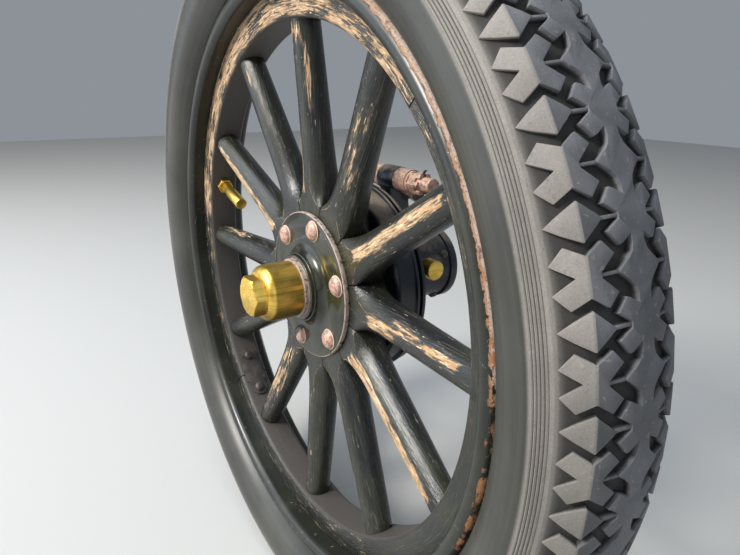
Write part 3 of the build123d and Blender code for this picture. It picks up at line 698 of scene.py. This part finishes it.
class PaintSettings(bpy.types.PropertyGroup):
    black: tint("Black", "the gloss paint", (0.010, 0.011, 0.008))
    # A greenish tint that stands as a painted reflection on the hub's gloss paint.
    olive_reflection: tint("Olive", "the gloss paint where it has faded", (0.034, 0.036, 0.014))
    chipped: tint("Chipped", "what shows under the gloss paint", (0.30, 0.25, 0.18))
    bare: tint("Bare metal", "the pinkish metal where the paint is rubbed off", (0.52, 0.40, 0.33))
    rust: tint("Rust", "the light rust", (0.34, 0.16, 0.07))
    rust_dark: tint("Dark rust", "the dark rust", (0.10, 0.05, 0.03))
    dust: tint("Dust", "the dust on the gloss paint", (0.040, 0.042, 0.026))
    axle: tint("Axle paint", "the paint on the axle end", (0.010, 0.014, 0.021))
    road_dust: tint("Road dust", "the dust on the axle end", (0.25, 0.195, 0.145))


class MetalSettings(bpy.types.PropertyGroup):
    brass: tint("Brass", "the polished brass", (0.86, 0.60, 0.14))
    tarnish: tint("Tarnish", "the tarnished brass", (0.58, 0.36, 0.06))
    # Also used as painted shade on the cap's lower side.
    dark_tarnish_and_shade: tint("Dark tarnish", "the darkest marks on the brass", (0.20, 0.115, 0.012))
    bolt: tint("Bolt", "the bolts where the paint is rubbed off", (0.53, 0.33, 0.25))
    bolt_shade: tint("Bolt shade", "the browner patches on the bolts", (0.24, 0.15, 0.115))
    # Also used as a painted highlight on what faces up.
    bolt_pale_and_highlight: tint("Bolt edge", "the bolts' rubbed edges", (0.66, 0.47, 0.37))
    bolt_dark: tint("Bolt paint", "the paint left on the bolts", (0.020, 0.020, 0.018))
    steel: tint("Steel", "the dull steel", (0.038, 0.034, 0.031))
    steel_dust: tint("Steel dust", "the dust on the dull steel", (0.11, 0.09, 0.075))
    bright: tint("Bright steel", "the turned steel", (0.42, 0.42, 0.42))


class StageSettings(bpy.types.PropertyGroup):
    floor: tint("Floor", "the floor", (0.46, 0.46, 0.45))
    lens: bpy.props.FloatProperty(
        name="Lens", description="Focal length on a sensor 36 mm wide", unit="CAMERA", default=28.148
    )
    eye: bpy.props.FloatVectorProperty(
        name="Eye", description="The camera's place", subtype="TRANSLATION", size=3,
        default=(0.52315, -0.44951, 0.20919),
    )


def crown_bend():
    """The radius of the crown's arc, and the length along it from the tyre's middle to the crease."""
    look = bpy.context.scene.wheel_tyre
    bend = bend_radius(look.crease, look.crease_drop)
    return bend, bend * 2 * atan2(look.crease_drop, look.crease)


def crown_point(arc_length, height):
    """(radius, along) of a place on the tread, this far along its section and this high over its surface."""
    look = bpy.context.scene.wheel_tyre
    bend, crease = crown_bend()
    slope = atan2(look.shoulder_drop - look.crease_drop, look.shoulder - look.crease)
    place = abs(arc_length)
    if place <= crease:
        radius = TYRE_HIGH.x - bend * (1 - cos(place / bend))
        along = bend * sin(place / bend)
    else:
        radius = TYRE_HIGH.x - look.crease_drop - (place - crease) * sin(slope)
        along = look.crease + (place - crease) * cos(slope)
    soft = 1.5 * MM  # the normal turns over this much on both sides of the crease
    share = clamped((place - crease + soft) / (2 * soft))
    turn = min(place, crease) / bend * (1 - share) + slope * share
    side = 1 if arc_length >= 0 else -1
    return radius + height * cos(turn), side * (along + height * sin(turn))


def groove_point(place):
    """(radius, along) on the floor of the grooves, this far along the section from the tyre's middle."""
    look = bpy.context.scene.wheel_tyre
    crease, tip = crown_bend()[1], 56 * MM
    share = clamped((place - crease) / (tip - crease))
    return crown_point(place, -(look.groove * (1 - share) + look.edge_groove * share))


def carcass_section():
    """The tyre's section without its blocks: the grooves' floor, the side, the bead's hook and the inside."""
    look = bpy.context.scene.wheel_tyre
    crown, widest = TYRE_HIGH.x, TYRE_HIGH.y - MIDDLE
    lip = RIM_HIGH.x
    shoulder = crown - look.shoulder_drop
    middle = lip + 0.6 * (shoulder - lip)
    floor = [groove_point(place * MM) for place in (0, 6, 12, 18, 24, 30)]
    floor += [groove_point(place) for place in (crown_bend()[1], 42 * MM, 49 * MM, 54.5 * MM)]
    bend = bend_radius(shoulder - middle, widest - look.shoulder)
    start = shoulder - 2 * MM
    side = []
    steps = 44
    for number in range(steps + 1):
        radius = start - (start - middle) * number / steps
        along = widest - bend + sqrt(bend**2 - (radius - middle) ** 2)
        rib = sin((radius - RIB_START) / RIB_PITCH * pi) ** 2 if RIB_START < radius < RIB_END else 0
        side.append((radius, along + 0.9 * MM * rib))
    neck = (lip + 0.3 * MM, RIM_SIDE)
    fall = middle - neck[0]
    bend = bend_radius(fall, widest - neck[1])
    steps = 14
    for number in range(1, steps + 1):
        radius = middle - fall * sin(pi / 2 * number / steps)
        side.append((radius, widest - bend + sqrt(max(bend**2 - (middle - radius) ** 2, 0))))
    hook = [(lip - 1.5 * MM, neck[1] - 0.5 * MM), (lip - 3.3 * MM, neck[1])]
    hook += arc((lip - RIM_CURL, neck[1]), 4.6 * MM, 10, 170, 6)
    inside = [(lip - 12.7 * MM, 14 * MM), (lip, 15.5 * MM), (middle, widest - 8 * MM)]
    inside += [(crown - 16 * MM, 30 * MM), (crown - 13 * MM, 12 * MM), (crown - 13 * MM, 0)]
    return mirrored(floor + side + hook + inside)


# Outlines of the tread's parts, for one quarter of a repeat: millimetres along the section from
# the tyre's middle, and degrees round the tyre from the middle of a bow tie
BOW_TIE = ((43.4, 0), (56, 1.2), (47, 2.62), (36.3, 1.7), (26.2, 2.68), (19, 1.5), (28.5, 0.2))
DIAMOND = ((55.5, 0), (47.0, 0.85), (36.3, 1.72), (22.5, 0))
RIB = (
    (18, 0.1), (10, 0.95), (7, 1.4), (5.7, 2.0), (5.6, 2.65), (11.8, 2.1), (14.8, 1.95), (21.8, 3.2),
    (12.7, 4.05),
)


def tread_block(name, points, top, end=None):
    """One block of the tread, standing on the grooves' floor with its top edges rounded.

    A block that runs on into the next repeat is left open, and unrounded, at both ends.
    """
    draft, rounding = 0.35 * MM, 0.45 * MM
    piece = outline(name, [Vector((x, y, 0)) for x, y in points], filled=True)
    with editing(piece):
        if bmesh.from_edit_mesh(piece.data).faces[:][0].normal.z < 0:
            bpy.ops.mesh.flip_normals()
        bpy.ops.mesh.inset(thickness=draft, depth=top)
    with editing(piece):
        pick(piece, "edges", lambda edge: max(v.co.z for v in edge.verts) < top / 2)
        bpy.ops.mesh.edge_face_add()
    mend(piece)

    def at_end(vertex):
        return end and abs(vertex.co.x) > end - 1.5 * draft

    def at_top(edge):
        return max(v.co.z for v in edge.verts) > top * 0.9 and not all(at_end(v) for v in edge.verts)

    if end:
        for vertex in piece.data.vertices:
            if at_end(vertex):
                vertex.co.x = end if vertex.co.x > 0 else -end
    with editing(piece):
        pick(piece, "edges", at_top)
        bpy.ops.mesh.bevel(offset=rounding, segments=2, affect="EDGES")
        if end:
            pick(piece, "faces", lambda face: all(at_end(v) for v in face.verts))
            bpy.ops.mesh.delete(type="FACE")
    return piece


def tread_cell():
    """One repeat of the tread on the flat, x round the tyre, y across it and z out of it."""
    look = bpy.context.scene.wheel_tyre
    half_turn = 180 / look.repeats
    degree = radians(1) * TYRE_HIGH.x
    top = look.groove

    def spread(points, centre):
        """A quarter's outline with its mirror image, about a place round the tyre."""
        there = [((centre + turn) * degree, across * MM) for across, turn in points]
        back = [((centre - turn) * degree, across * MM) for across, turn in reversed(points) if turn]
        return there + back

    def tie(centre, start, end):
        """A narrow bar between two blocks."""
        x, side = centre * degree, 1.3 * MM
        return [(x - side, start * MM), (x + side, start * MM), (x + side, end * MM), (x - side, end * MM)]

    half = joined("half_cell", [
        tread_block("bow_tie", spread(BOW_TIE, 0), top),
        tread_block("diamond", spread(DIAMOND, half_turn), top),
        tread_block("inner_tie", tie(0, 16.5, 30), top * 0.85),
        tread_block("outer_tie", tie(half_turn, 11.5, 24), top * 0.85),
    ])
    other = copied(half, "other_half")
    other.scale.y = -1
    settle(other)
    mend(other)
    end = half_turn * degree
    upper = [(turn * degree, across * MM) for across, turn in RIB] + [(end, 12.7 * MM)]
    upper = [(-x, y) for x, y in reversed(upper)] + upper
    rib = tread_block("rib", upper + [(x, -y) for x, y in reversed(upper)], top, end)
    return joined("tread_cell", [half, other, rib])


def wrapped(piece):
    """Lays the flat cell on the tyre: x goes round it and y along its section."""
    look = bpy.context.scene.wheel_tyre
    for vertex in piece.data.vertices:
        radius, along = crown_point(vertex.co.y, vertex.co.z - look.groove)
        vertex.co = round_point(radius, along, vertex.co.x / TYRE_HIGH.x)
    piece.data.update()


class WHEEL_OT_tyre(bpy.types.Operator):
    """Makes the tyre: its carcass with fine ribs on its sides, and the blocks of its tread"""

    bl_idname = "wheel.tyre"
    bl_label = "Tyre"

    def execute(self, context):
        look = context.scene.wheel_tyre
        carcass = spun("tyre_carcass", carcass_section(), look.repeats * 8)
        cell = tread_cell()
        crease = crown_bend()[1] / MM
        with editing(cell):
            for place in (-28, -20, -12, 12, 20, 28, crease, -crease):
                bpy.ops.mesh.select_all(action="SELECT")
                bpy.ops.mesh.bisect(plane_co=(0, place * MM, 0), plane_no=(0, 1, 0), threshold=1e-6)
        wrapped(cell)
        tread = turned_copies(cell, "tyre_tread", look.repeats, TREAD_TURN)
        mend(tread)
        finished(carcass, "tyre_rubber", "tyre", smooth=40)
        finished(tread, "tyre_rubber", "tyre", smooth=25)
        return {"FINISHED"}


class WHEEL_OT_rim(bpy.types.Operator):
    """Makes the rim: a steel band with both edges rolled into curls"""

    bl_idname = "wheel.rim"
    bl_label = "Rim"

    def execute(self, context):
        gauge = 3 * MM
        centre = (RIM_HIGH.x - RIM_CURL, RIM_SIDE)
        half = [(centre[0] - RIM_CURL, 0)] + arc(centre, RIM_CURL, 180, 0, 16)
        half += arc(centre, RIM_CURL - gauge, 0, 180, 12) + [(centre[0] - RIM_CURL + gauge, 0)]
        finished(spun("rim_band", mirrored(half), 288), "black_paint", "rim", coat="rim_paint")
        return {"FINISHED"}


def mark_felloe(piece, seed, inner):
    """Stores the felloe's grain, where its paint is worn and where it is dull."""
    grain, wear, edge, dull = [], [], [], []
    for vertex in piece.data.vertices:
        x, y, z = vertex.co
        radius, turn = sqrt(x * x + z * z), atan2(z, x)
        grain.append((turn % (2 * pi) * 0.5 + seed, (y - MIDDLE) * 1.7, radius * 1.7))
        degree = (degrees(turn) + 60) % 360 - 60
        top = ramp(degree, 28, 62) * ramp(degree, 200, 160)
        rear = ramp(degree, -12, 20)
        outboard = ramp(y - MIDDLE, -10 * MM, -17 * MM)
        wear.append(0.05 + outboard * (0.07 + 0.68 * top + 0.30 * rear * (1 - top)))
        dull.append(ramp(radius, inner + 2.2 * MM, inner + 0.6 * MM))
        corner = abs(radius - inner - 1.5 * MM) < 0.8 * MM and y < MIDDLE
        edge.append(0.93 if corner and not 30 < degree < 175 else 0.0)
    store(piece, grain=grain, wear=wear, edge=edge, dull=dull)


def joint_plates(joint):
    """The plates at the felloe's joints: wide in the middle, with a round tongue about each rivet."""
    wide, run, tongue, rivet = 13.6, 12.0, 10.4, 24.7
    half = [(run, wide), (run + 3, tongue)] + arc((rivet, 0), tongue, 90, -90, 12)
    half += [(run + 3, -tongue), (run, -wide)]
    whole = half + [(-along, -across) for along, across in half]
    rings = [
        [Vector((radius * MM, MIDDLE + across * MM, along * MM)) for along, across in whole]
        for radius in (240, 280)
    ]
    plates = dressed_copy("felloe_plates", "joint_plates", 0)
    combine(plates, "INTERSECT", turned_copies(skinned("shaper", rings), "shaper", 2, joint))
    soften(plates, 0.4 * MM)
    return plates


class WHEEL_OT_felloe(bpy.types.Operator):
    """Makes the wooden felloe in two halves, with the plates and rivets at their joints"""

    bl_idname = "wheel.felloe"
    bl_label = "Felloe"

    def execute(self, context):
        outer = RIM_HIGH.x - 2 * RIM_CURL
        inner, side = outer - 26.5 * MM, 19 * MM
        corner, edge = 5 * MM, 0.8 * MM
        half = [(inner, 0)] + arc((inner + corner, side - corner), corner, 180, 90, 6)
        half += arc((outer - edge, side - edge), edge, 90, 0, 2) + [(outer, 0)]
        joint = SPOKE_TURN + 7.5 * PITCH
        cut = 0.75 * MM / outer
        for number, node in enumerate(("felloe_forward", "felloe_rearward")):
            start = joint + number * pi + cut
            piece = spun(f"{node}_wood", mirrored(half), 120, start, pi - 2 * cut)
            mark_felloe(piece, number * 3.1, inner)
            finished(piece, "painted_wood", node)
        finished(joint_plates(joint), "dull_steel", "felloe_plates")
        dress("felloe_rivets", "joint_rivets", "dull_steel", 2.6, 4)
        return {"FINISHED"}


SPOKE_STATIONS = (
    # from the axis, half depth, half width, rounding along the depth, rounding across, chamfer
    (37.8, 18, 9.9, 0.6, 0.6, 0), (60, 18, 15.8, 0.6, 0.6, 0), (84, 18, 22.2, 0.8, 0.8, 0.3),
    (88, 18, 23.3, 2.2, 2.6, 0.4), (92, 18, 22.2, 4.5, 6, 0.45), (97, 18, 20.7, 7, 9.5, 0.42),
    (104, 17.9, 19.3, 9.8, 12.2, 0.36), (114, 17.6, 18.4, 12.4, 14.2, 0.28),
    (128, 17, 17.8, 14.4, 15.6, 0.18), (145, 16.5, 17.2, 15.2, 16.2, 0.08),
    (165, 16, 16.6, 15.6, 16.2, 0), (263, 14, 14.5, 13.7, 14.2, 0),
)


def spoke_station(place):
    """The middle of a spoke's section along the axle and its sizes, this many millimetres from the axis."""
    low = max(number for number, row in enumerate(SPOKE_STATIONS[:-1]) if row[0] <= place + 1e-6)
    before, after = SPOKE_STATIONS[low], SPOKE_STATIONS[low + 1]
    share = (place - before[0]) / (after[0] - before[0])
    wedge_end, rim_end, inboard = 84, 263, 16
    middle = inboard - inboard / (rim_end - wedge_end) * max(place - wedge_end, 0)
    return middle, *[a * (1 - share) + b * share for a, b in zip(before[1:], after[1:])]


def spoke_ring(place):
    """The ring of points of a spoke's section, this far from the axle's axis, for a spoke along +X."""
    middle, depth, width, turn_in, turn_across, chamfer = spoke_station(place)
    corner = []
    steps = 8
    for number in range(steps + 1):
        angle = pi / 2 * number / steps
        straight = number / steps
        down = (1 - chamfer) * (1 - cos(angle)) + chamfer * straight
        over = (1 - chamfer) * sin(angle) + chamfer * straight
        corner.append((-(depth - turn_in * down), width - turn_across + turn_across * over))
    quarter = [(-depth, 0)] + corner + [(0, width)]
    half = quarter + [(-along, across) for along, across in reversed(quarter[:-1])]
    return [Vector((place * MM, MIDDLE + (middle + a) * MM, b * MM)) for a, b in mirrored(half)]


# Where each spoke is worn: from and to (millimetres from the axis), middle and half width round
# the spoke (degrees, 0 is its outboard face, growing towards the next spoke), and how much
SPOKE_WEAR = (
    ((112, 160, -4, 34, 0.95), (150, 248, 24, 26, 0.95), (110, 262, 84, 40, 0.42), (120, 262, -48, 26, 0.48)),
    ((98, 258, 4, 24, 1.0), (110, 240, -42, 24, 0.45)),
    ((110, 258, -34, 44, 0.52),),
    ((95, 262, 24, 9, 0.85), (240, 264, -6, 34, 0.9), (165, 244, -48, 16, 0.75)),
    ((236, 258, -16, 20, 0.75), (110, 262, -60, 50, 0.3)),
    ((95, 262, 12, 26, 0.95),),
    ((115, 256, -70, 30, 0.55), (104, 122, 22, 14, 0.8)),
    ((150, 250, 0, 30, 0.35),),
    ((98, 245, 8, 40, 0.7),),
    ((110, 262, 0, 26, 0.42),),
    ((110, 262, -18, 14, 0.5), (100, 262, 60, 40, 0.25)),
    ((92, 258, -10, 34, 0.98), (100, 262, 110, 30, 0.3)),
)


def mark_spoke(spoke, number):
    """Stores a spoke's grain, where its paint is worn and where its front facet's edges run."""
    grain, wear, edge = [], [], []
    for vertex in spoke.data.vertices:
        x, y, z = vertex.co
        grain.append((x + 0.7 * number, y + 0.13 * number, z))
        far = x / MM
        middle, depth, width, _, turn_across, _ = spoke_station(min(max(far, 38), 262))
        front = abs((y - MIDDLE) / MM - middle + depth) < 0.2
        border = abs(abs(z) / MM - width + turn_across) < 0.2
        edge.append(1.0 if front and border and 85 < far < 140 else 0.0)
        round_it = degrees(atan2(z, -(y - MIDDLE - middle * MM)))
        most = 0.16
        for start, end, centre, width, share in SPOKE_WEAR[number]:
            off = abs((round_it - centre + 180) % 360 - 180)
            inside = ramp(far, start - 8, start + 8) * ramp(far, end + 6, end - 8)
            most = max(most, share * inside * ramp(off, width * 1.25, width * 0.55))
        wear.append(most)
    store(spoke, grain=grain, wear=wear, edge=edge)


class WHEEL_OT_spokes(bpy.types.Operator):
    """Makes the twelve wooden spokes from one: a wedge at the hub and a rounded body that leans out"""

    bl_idname = "wheel.spokes"
    bl_label = "Spokes"

    def execute(self, context):
        places = [37.8, 60, 84, 86, 88, 90, 92, 94.5, 97, 100, 104, 109, 114, 121, 128, 136, 145, 155, 165]
        places += [180, 195, 210, 225, 240, 252, 262.9]
        rings = [spoke_ring(place) for place in places]
        tenon, count = 9 * MM, len(rings[0])
        turns = [2 * pi * number / count for number in range(count)]
        for place in (263, 280):
            rings.append([Vector((place * MM, MIDDLE - tenon * cos(t), tenon * sin(t))) for t in turns])
        first = skinned("spoke", rings)
        for number in range(SPOKE_COUNT):
            spoke = copied(first, f"wood_spoke_{number + 1:02d}")
            mark_spoke(spoke, number)
            spoke.matrix_world = Matrix.Rotation(-(SPOKE_TURN + number * PITCH), 4, "Y")
            settle(spoke)
            finished(spoke, "painted_wood", f"spoke_{number + 1:02d}", smooth=24)
        bpy.data.objects.remove(first)
        return {"FINISHED"}


def bolt_shanks():
    """What is left of the hub's bolts once their heads are cut off at the plate's face."""
    shanks = dressed_copy("hub_bolts", "hub_bolt_shanks", 0)
    with editing(shanks):
        bpy.ops.mesh.bisect(plane_co=(0, PLATE_FACE, 0), plane_no=(0, -1, 0), clear_outer=True, use_fill=True)
    return shanks


def bolt_heads():
    """Six domed bolt heads on thin flanges, one still half painted."""
    count, first_turn, far, half_painted = 6, 15.8, 65 * MM, 4
    profile = [(0, -6), (3, -5.85), (6, -5.1), (8.2, -3.9), (9.6, -2.3), (10.1, -1.1), (10.2, -0.75)]
    profile += [(10.4, -0.62), (10.9, -0.55), (11, -0.4), (11, 0), (0, 0)]
    seat = PLATE_FACE - MIDDLE
    head = spun("bolt_head", [(radius * MM, seat + along * MM) for radius, along in profile], 40)
    dome = 10.3 * MM
    edge = [1.0 if sqrt(v.co.x**2 + v.co.z**2) > dome else 0.0 for v in head.data.vertices]
    heads = []
    for number in range(count):
        turn = radians(first_turn + 360 / count * number)
        copy = copied(head, f"bolt_head_{number}")
        half = 1.0 if number == half_painted else 0.0
        paint = [half * ramp((v.co.z * 0.6 - v.co.x) / dome, -0.3, 0.2) for v in copy.data.vertices]
        store(copy, edge=edge, paint=paint)
        copy.location = (far * cos(turn), 0, far * sin(turn))
        settle(copy)
        heads.append(copy)
    bpy.data.objects.remove(head)
    return joined("hub_bolt_heads", heads)


def brass_cap():
    """The hub cap: a cup with a domed shoulder and a hexagon whose corners are turned off."""
    mouth, end = CAP_HIGH.y - MIDDLE, CAP_LOW.y - MIDDLE
    radius, bore, chamfer = CAP_HIGH.x, 26.6 * MM, 0.7 * MM
    hexagon_start = end + 12 * MM
    rise, drop = 9 * MM, radius - 23.5 * MM
    shoulder_start = hexagon_start + rise
    bend = bend_radius(rise, drop)
    angle = degrees(atan2(rise, bend - drop))
    dome = [(radius - bend + r, shoulder_start - along) for r, along in arc((0, 0), bend, angle, 0, 10)]
    section = [(0, hexagon_start)] + dome + [(radius, mouth - chamfer), (radius - chamfer, mouth)]
    section += [(bore, mouth), (bore, shoulder_start), (0, shoulder_start)]
    cap = spun("hub_cap_brass", section, 96)
    corner = max(
        (v.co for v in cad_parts["hub_cap"].data.vertices if v.co.y < CAP_LOW.y + 0.1 * MM),
        key=lambda place: place.x**2 + place.z**2,
    )
    reach, turn = sqrt(corner.x**2 + corner.z**2), atan2(corner.z, corner.x)
    root, tip = hexagon_start + 1 * MM, end - 0.02 * MM
    rings = [
        [round_point(reach, along, turn + number * pi / 3) for number in range(6)] for along in (root, end)
    ]
    hexagon = skinned("hexagon", rings)
    turned = [(0, root + 1 * MM), (reach + 2 * MM, root + 1 * MM), (reach + 2 * MM, end + 3.0 * MM)]
    turned += [(reach - 2.5 * MM, tip), (0, tip)]
    combine(hexagon, "INTERSECT", spun("shaper", turned, 96))
    combine(cap, "UNION", hexagon)
    soften(cap, 0.45 * MM, 2, 20)
    return cap


class WHEEL_OT_hub(bpy.types.Operator):
    """Makes the hub with its rings, and the flared plate in front of the spokes"""

    bl_idname = "wheel.hub"
    bl_label = "Hub"

    def execute(self, context):
        dress("hub", "hub_barrel", "black_paint", 0.8, coat="hub_paint")
        dress("hub_plate", "hub_face", "black_paint", 0.7, coat="hub_paint")
        finished(bolt_shanks(), "worn_bolt", "hub_bolts")
        finished(bolt_heads(), "worn_bolt", "hub_bolts")
        finished(brass_cap(), "brass", "hub_cap")
        dress("axle_shaft", "axle_shaft_steel", "bright_steel", 0.5)
        return {"FINISHED"}


class WHEEL_OT_valve(bpy.types.Operator):
    """Makes the tyre's valve with its nut"""

    bl_idname = "wheel.valve"
    bl_label = "Valve"

    def execute(self, context):
        dress("valve_stem", "valve_brass", "brass", 0.9, 3)
        dress("valve_nut", "valve_base_nut", "brass", 0.6)
        return {"FINISHED"}


class WHEEL_OT_brake(bpy.types.Operator):
    """Makes the brake drum, its backing plate and its lever"""

    bl_idname = "wheel.brake"
    bl_label = "Brake"

    def execute(self, context):
        dress("brake_drum", "drum_shell", "axle_paint", 0.6)
        for node in ("backing_plate", "brake_lever"):
            dress(node, f"{node}_painted", "axle_paint", 0.6, body="axle_end")
        return {"FINISHED"}


def castle_nut():
    """The shackle's nut with slots across its outer end for the cotter pin."""
    nut = dressed_copy("shackle_nut", "shackle_castle_nut", 0)
    depth, spare, slot_length, slot_width = 6 * MM, 2 * MM, 30 * MM, 4 * MM
    place = (NUT_HIGH.x - depth / 2 + spare / 2, NUT_MIDDLE.y, NUT_MIDDLE.z)
    for number in range(3):
        bpy.ops.mesh.primitive_cube_add(size=1, location=place)
        slot = bpy.context.active_object
        slot.scale = (depth + spare, slot_length, slot_width)
        slot.rotation_euler = (pi / 3 * number + pi / 6, 0, 0)
        settle(slot)
        combine(nut, "DIFFERENCE", slot)
    soften(nut, 0.5 * MM, 2, 40)
    return nut


def cotter_pin():
    """A split pin through the castle nut, its head on one side and its legs bent over on the other."""
    reach = (NUT_HIGH.z - NUT_LOW.z) / 2
    side, steps, inset = 1.6 * MM, 10, 2.8 * MM
    bends = [(0, -reach - 4 * MM), (0, reach + 1 * MM), (1.5 * MM, reach + 3 * MM), (4 * MM, reach + 5 * MM)]
    start = NUT_MIDDLE.copy()
    start.x = NUT_HIGH.x - inset
    turns = [2 * pi * number / steps for number in range(steps)]
    rings = [
        [start + Vector((out + side * cos(t), side * sin(t), rise)) for t in turns] for out, rise in bends
    ]
    return skinned("cotter_pin", rings)


def links():
    """The shackle's links, rubbed bare round the bolt and still painted further out."""
    piece = dressed_copy("shackle_links", "shackle_links_dressed", 0.9)
    low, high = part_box("shackle_bolt")
    eye = (low + high) / 2
    away = [sqrt((v.co.y - eye.y) ** 2 + (v.co.z - eye.z) ** 2) for v in piece.data.vertices]
    store(piece, paint=[ramp(far, 13.3 * MM, 14.5 * MM) for far in away])
    return piece


class WHEEL_OT_axle_end(bpy.types.Operator):
    """Makes the bearing housing, the spring perch, the shackle, the grease cup and their fastenings"""

    bl_idname = "wheel.axle_end"
    bl_label = "Axle end"

    def execute(self, context):
        for node, slot, width in (
            ("bearing_housing", "axle_paint", 1.0),
            ("spring_perch", "axle_paint", 1.0),
            ("housing_bolts", "dull_steel", 0.6),
            ("tube_rivets", "dull_steel", 0.6),
            ("perch_bolts", "dull_steel", 0.5),
            ("grease_cup", "brass", 0.5),
            ("shackle_bolt", "worn_bolt", 0.8),
            ("shackle_washer", "worn_bolt", 0.4),
        ):
            dress(node, f"{node}_dressed", slot, width, body="axle_end")
        finished(links(), "worn_bolt", "shackle_links", body="axle_end")
        finished(castle_nut(), "worn_bolt", "shackle_nut", body="axle_end")
        finished(cotter_pin(), "dull_steel", body="axle_end")
        return {"FINISHED"}


class WHEEL_OT_stage(bpy.types.Operator):
    """Makes the floor, the lights, the surroundings and the camera"""

    bl_idname = "wheel.stage"
    bl_label = "Stage"

    def execute(self, context):
        look = context.scene.wheel_stage
        deselect()
        bpy.ops.mesh.primitive_plane_add(size=12, location=(0, 0, cad_box[0][2]))
        floor = context.active_object
        floor.name = "floor"
        floor.data.materials.append(Finish("floor_paint").done(look.floor, 0.9))
        middle = Vector((0, MIDDLE, 0))
        for name, direction, distance, size, power, colour in (
            ("key", (-0.08, -0.79, 0.605), 5.5, 1.3, 370, (1.0, 0.95, 0.88)),
            ("top", (-0.14, -0.42, 0.88), 2.6, 2.4, 70, (0.86, 0.93, 1.0)),
            ("fill", (0.9, -0.35, 0.45), 3.0, 2.5, 18, (0.86, 0.92, 1.0)),
            ("sky", (-0.62, -0.75, 0.22), 3.2, 2.6, 42, (0.84, 0.92, 1.0)),
        ):
            place = middle + Vector(direction).normalized() * distance
            bpy.ops.object.light_add(type="AREA", location=place)
            light = context.active_object
            light.name = name
            light.data.energy = power
            light.data.size = size
            light.data.color = colour
            light.rotation_euler = (middle - place).to_track_quat("-Z", "Y").to_euler()
        world = bpy.data.worlds.new("surroundings")
        context.scene.world = world
        world.use_nodes = True
        back = world.node_tree.nodes["Background"]
        back.inputs["Color"].default_value = (0.80, 0.87, 0.96, 1)
        back.inputs["Strength"].default_value = 0.33
        bpy.ops.object.camera_add()
        camera = context.active_object
        camera.data.sensor_width = 36
        camera.data.lens = look.lens
        camera.data.clip_start = 0.01
        right = Vector((0.55688, 0.83047, 0.01431))
        up = Vector((-0.27516, 0.16820, 0.94657))
        behind = Vector((0.78369, -0.53107, 0.32218))
        turn = Matrix((right, up, behind)).transposed().to_4x4()
        camera.matrix_world = Matrix.Translation(look.eye) @ turn
        context.scene.camera = camera
        context.scene.view_settings.view_transform = "Standard"
        return {"FINISHED"}


OPERATORS = (
    WHEEL_OT_tyre, WHEEL_OT_rim, WHEEL_OT_felloe, WHEEL_OT_spokes, WHEEL_OT_hub, WHEEL_OT_valve,
    WHEEL_OT_brake, WHEEL_OT_axle_end, WHEEL_OT_stage,
)
SETTINGS = {
    "wheel_tyre": TyreSettings,
    "wheel_wood": WoodSettings,
    "wheel_paint": PaintSettings,
    "wheel_metal": MetalSettings,
    "wheel_stage": StageSettings,
}


class WHEEL_PT_panel(bpy.types.Panel):
    bl_idname = "WHEEL_PT_panel"
    bl_label = "Wooden Spoked Wheel"
    bl_space_type = "VIEW_3D"
    bl_region_type = "UI"
    bl_category = "Wheel"

    def draw(self, context):
        for operator in OPERATORS:
            self.layout.operator(operator.bl_idname)
        for name, group in SETTINGS.items():
            box = self.layout.box()
            for setting in group.__annotations__:
                box.prop(getattr(context.scene, name), setting)


def register():
    for group in (*SETTINGS.values(), *OPERATORS, WHEEL_PT_panel):
        bpy.utils.register_class(group)
    for name, group in SETTINGS.items():
        setattr(bpy.types.Scene, name, bpy.props.PointerProperty(type=group))


def unregister():
    for name in SETTINGS:
        delattr(bpy.types.Scene, name)
    for group in (WHEEL_PT_panel, *reversed(OPERATORS), *SETTINGS.values()):
        bpy.utils.unregister_class(group)


def main():
    register()
    for make in (
        bpy.ops.wheel.tyre, bpy.ops.wheel.rim, bpy.ops.wheel.felloe, bpy.ops.wheel.spokes, bpy.ops.wheel.hub,
        bpy.ops.wheel.valve, bpy.ops.wheel.brake, bpy.ops.wheel.axle_end, bpy.ops.wheel.stage,
    ):
        make()


if __name__ == "__main__":
    main()
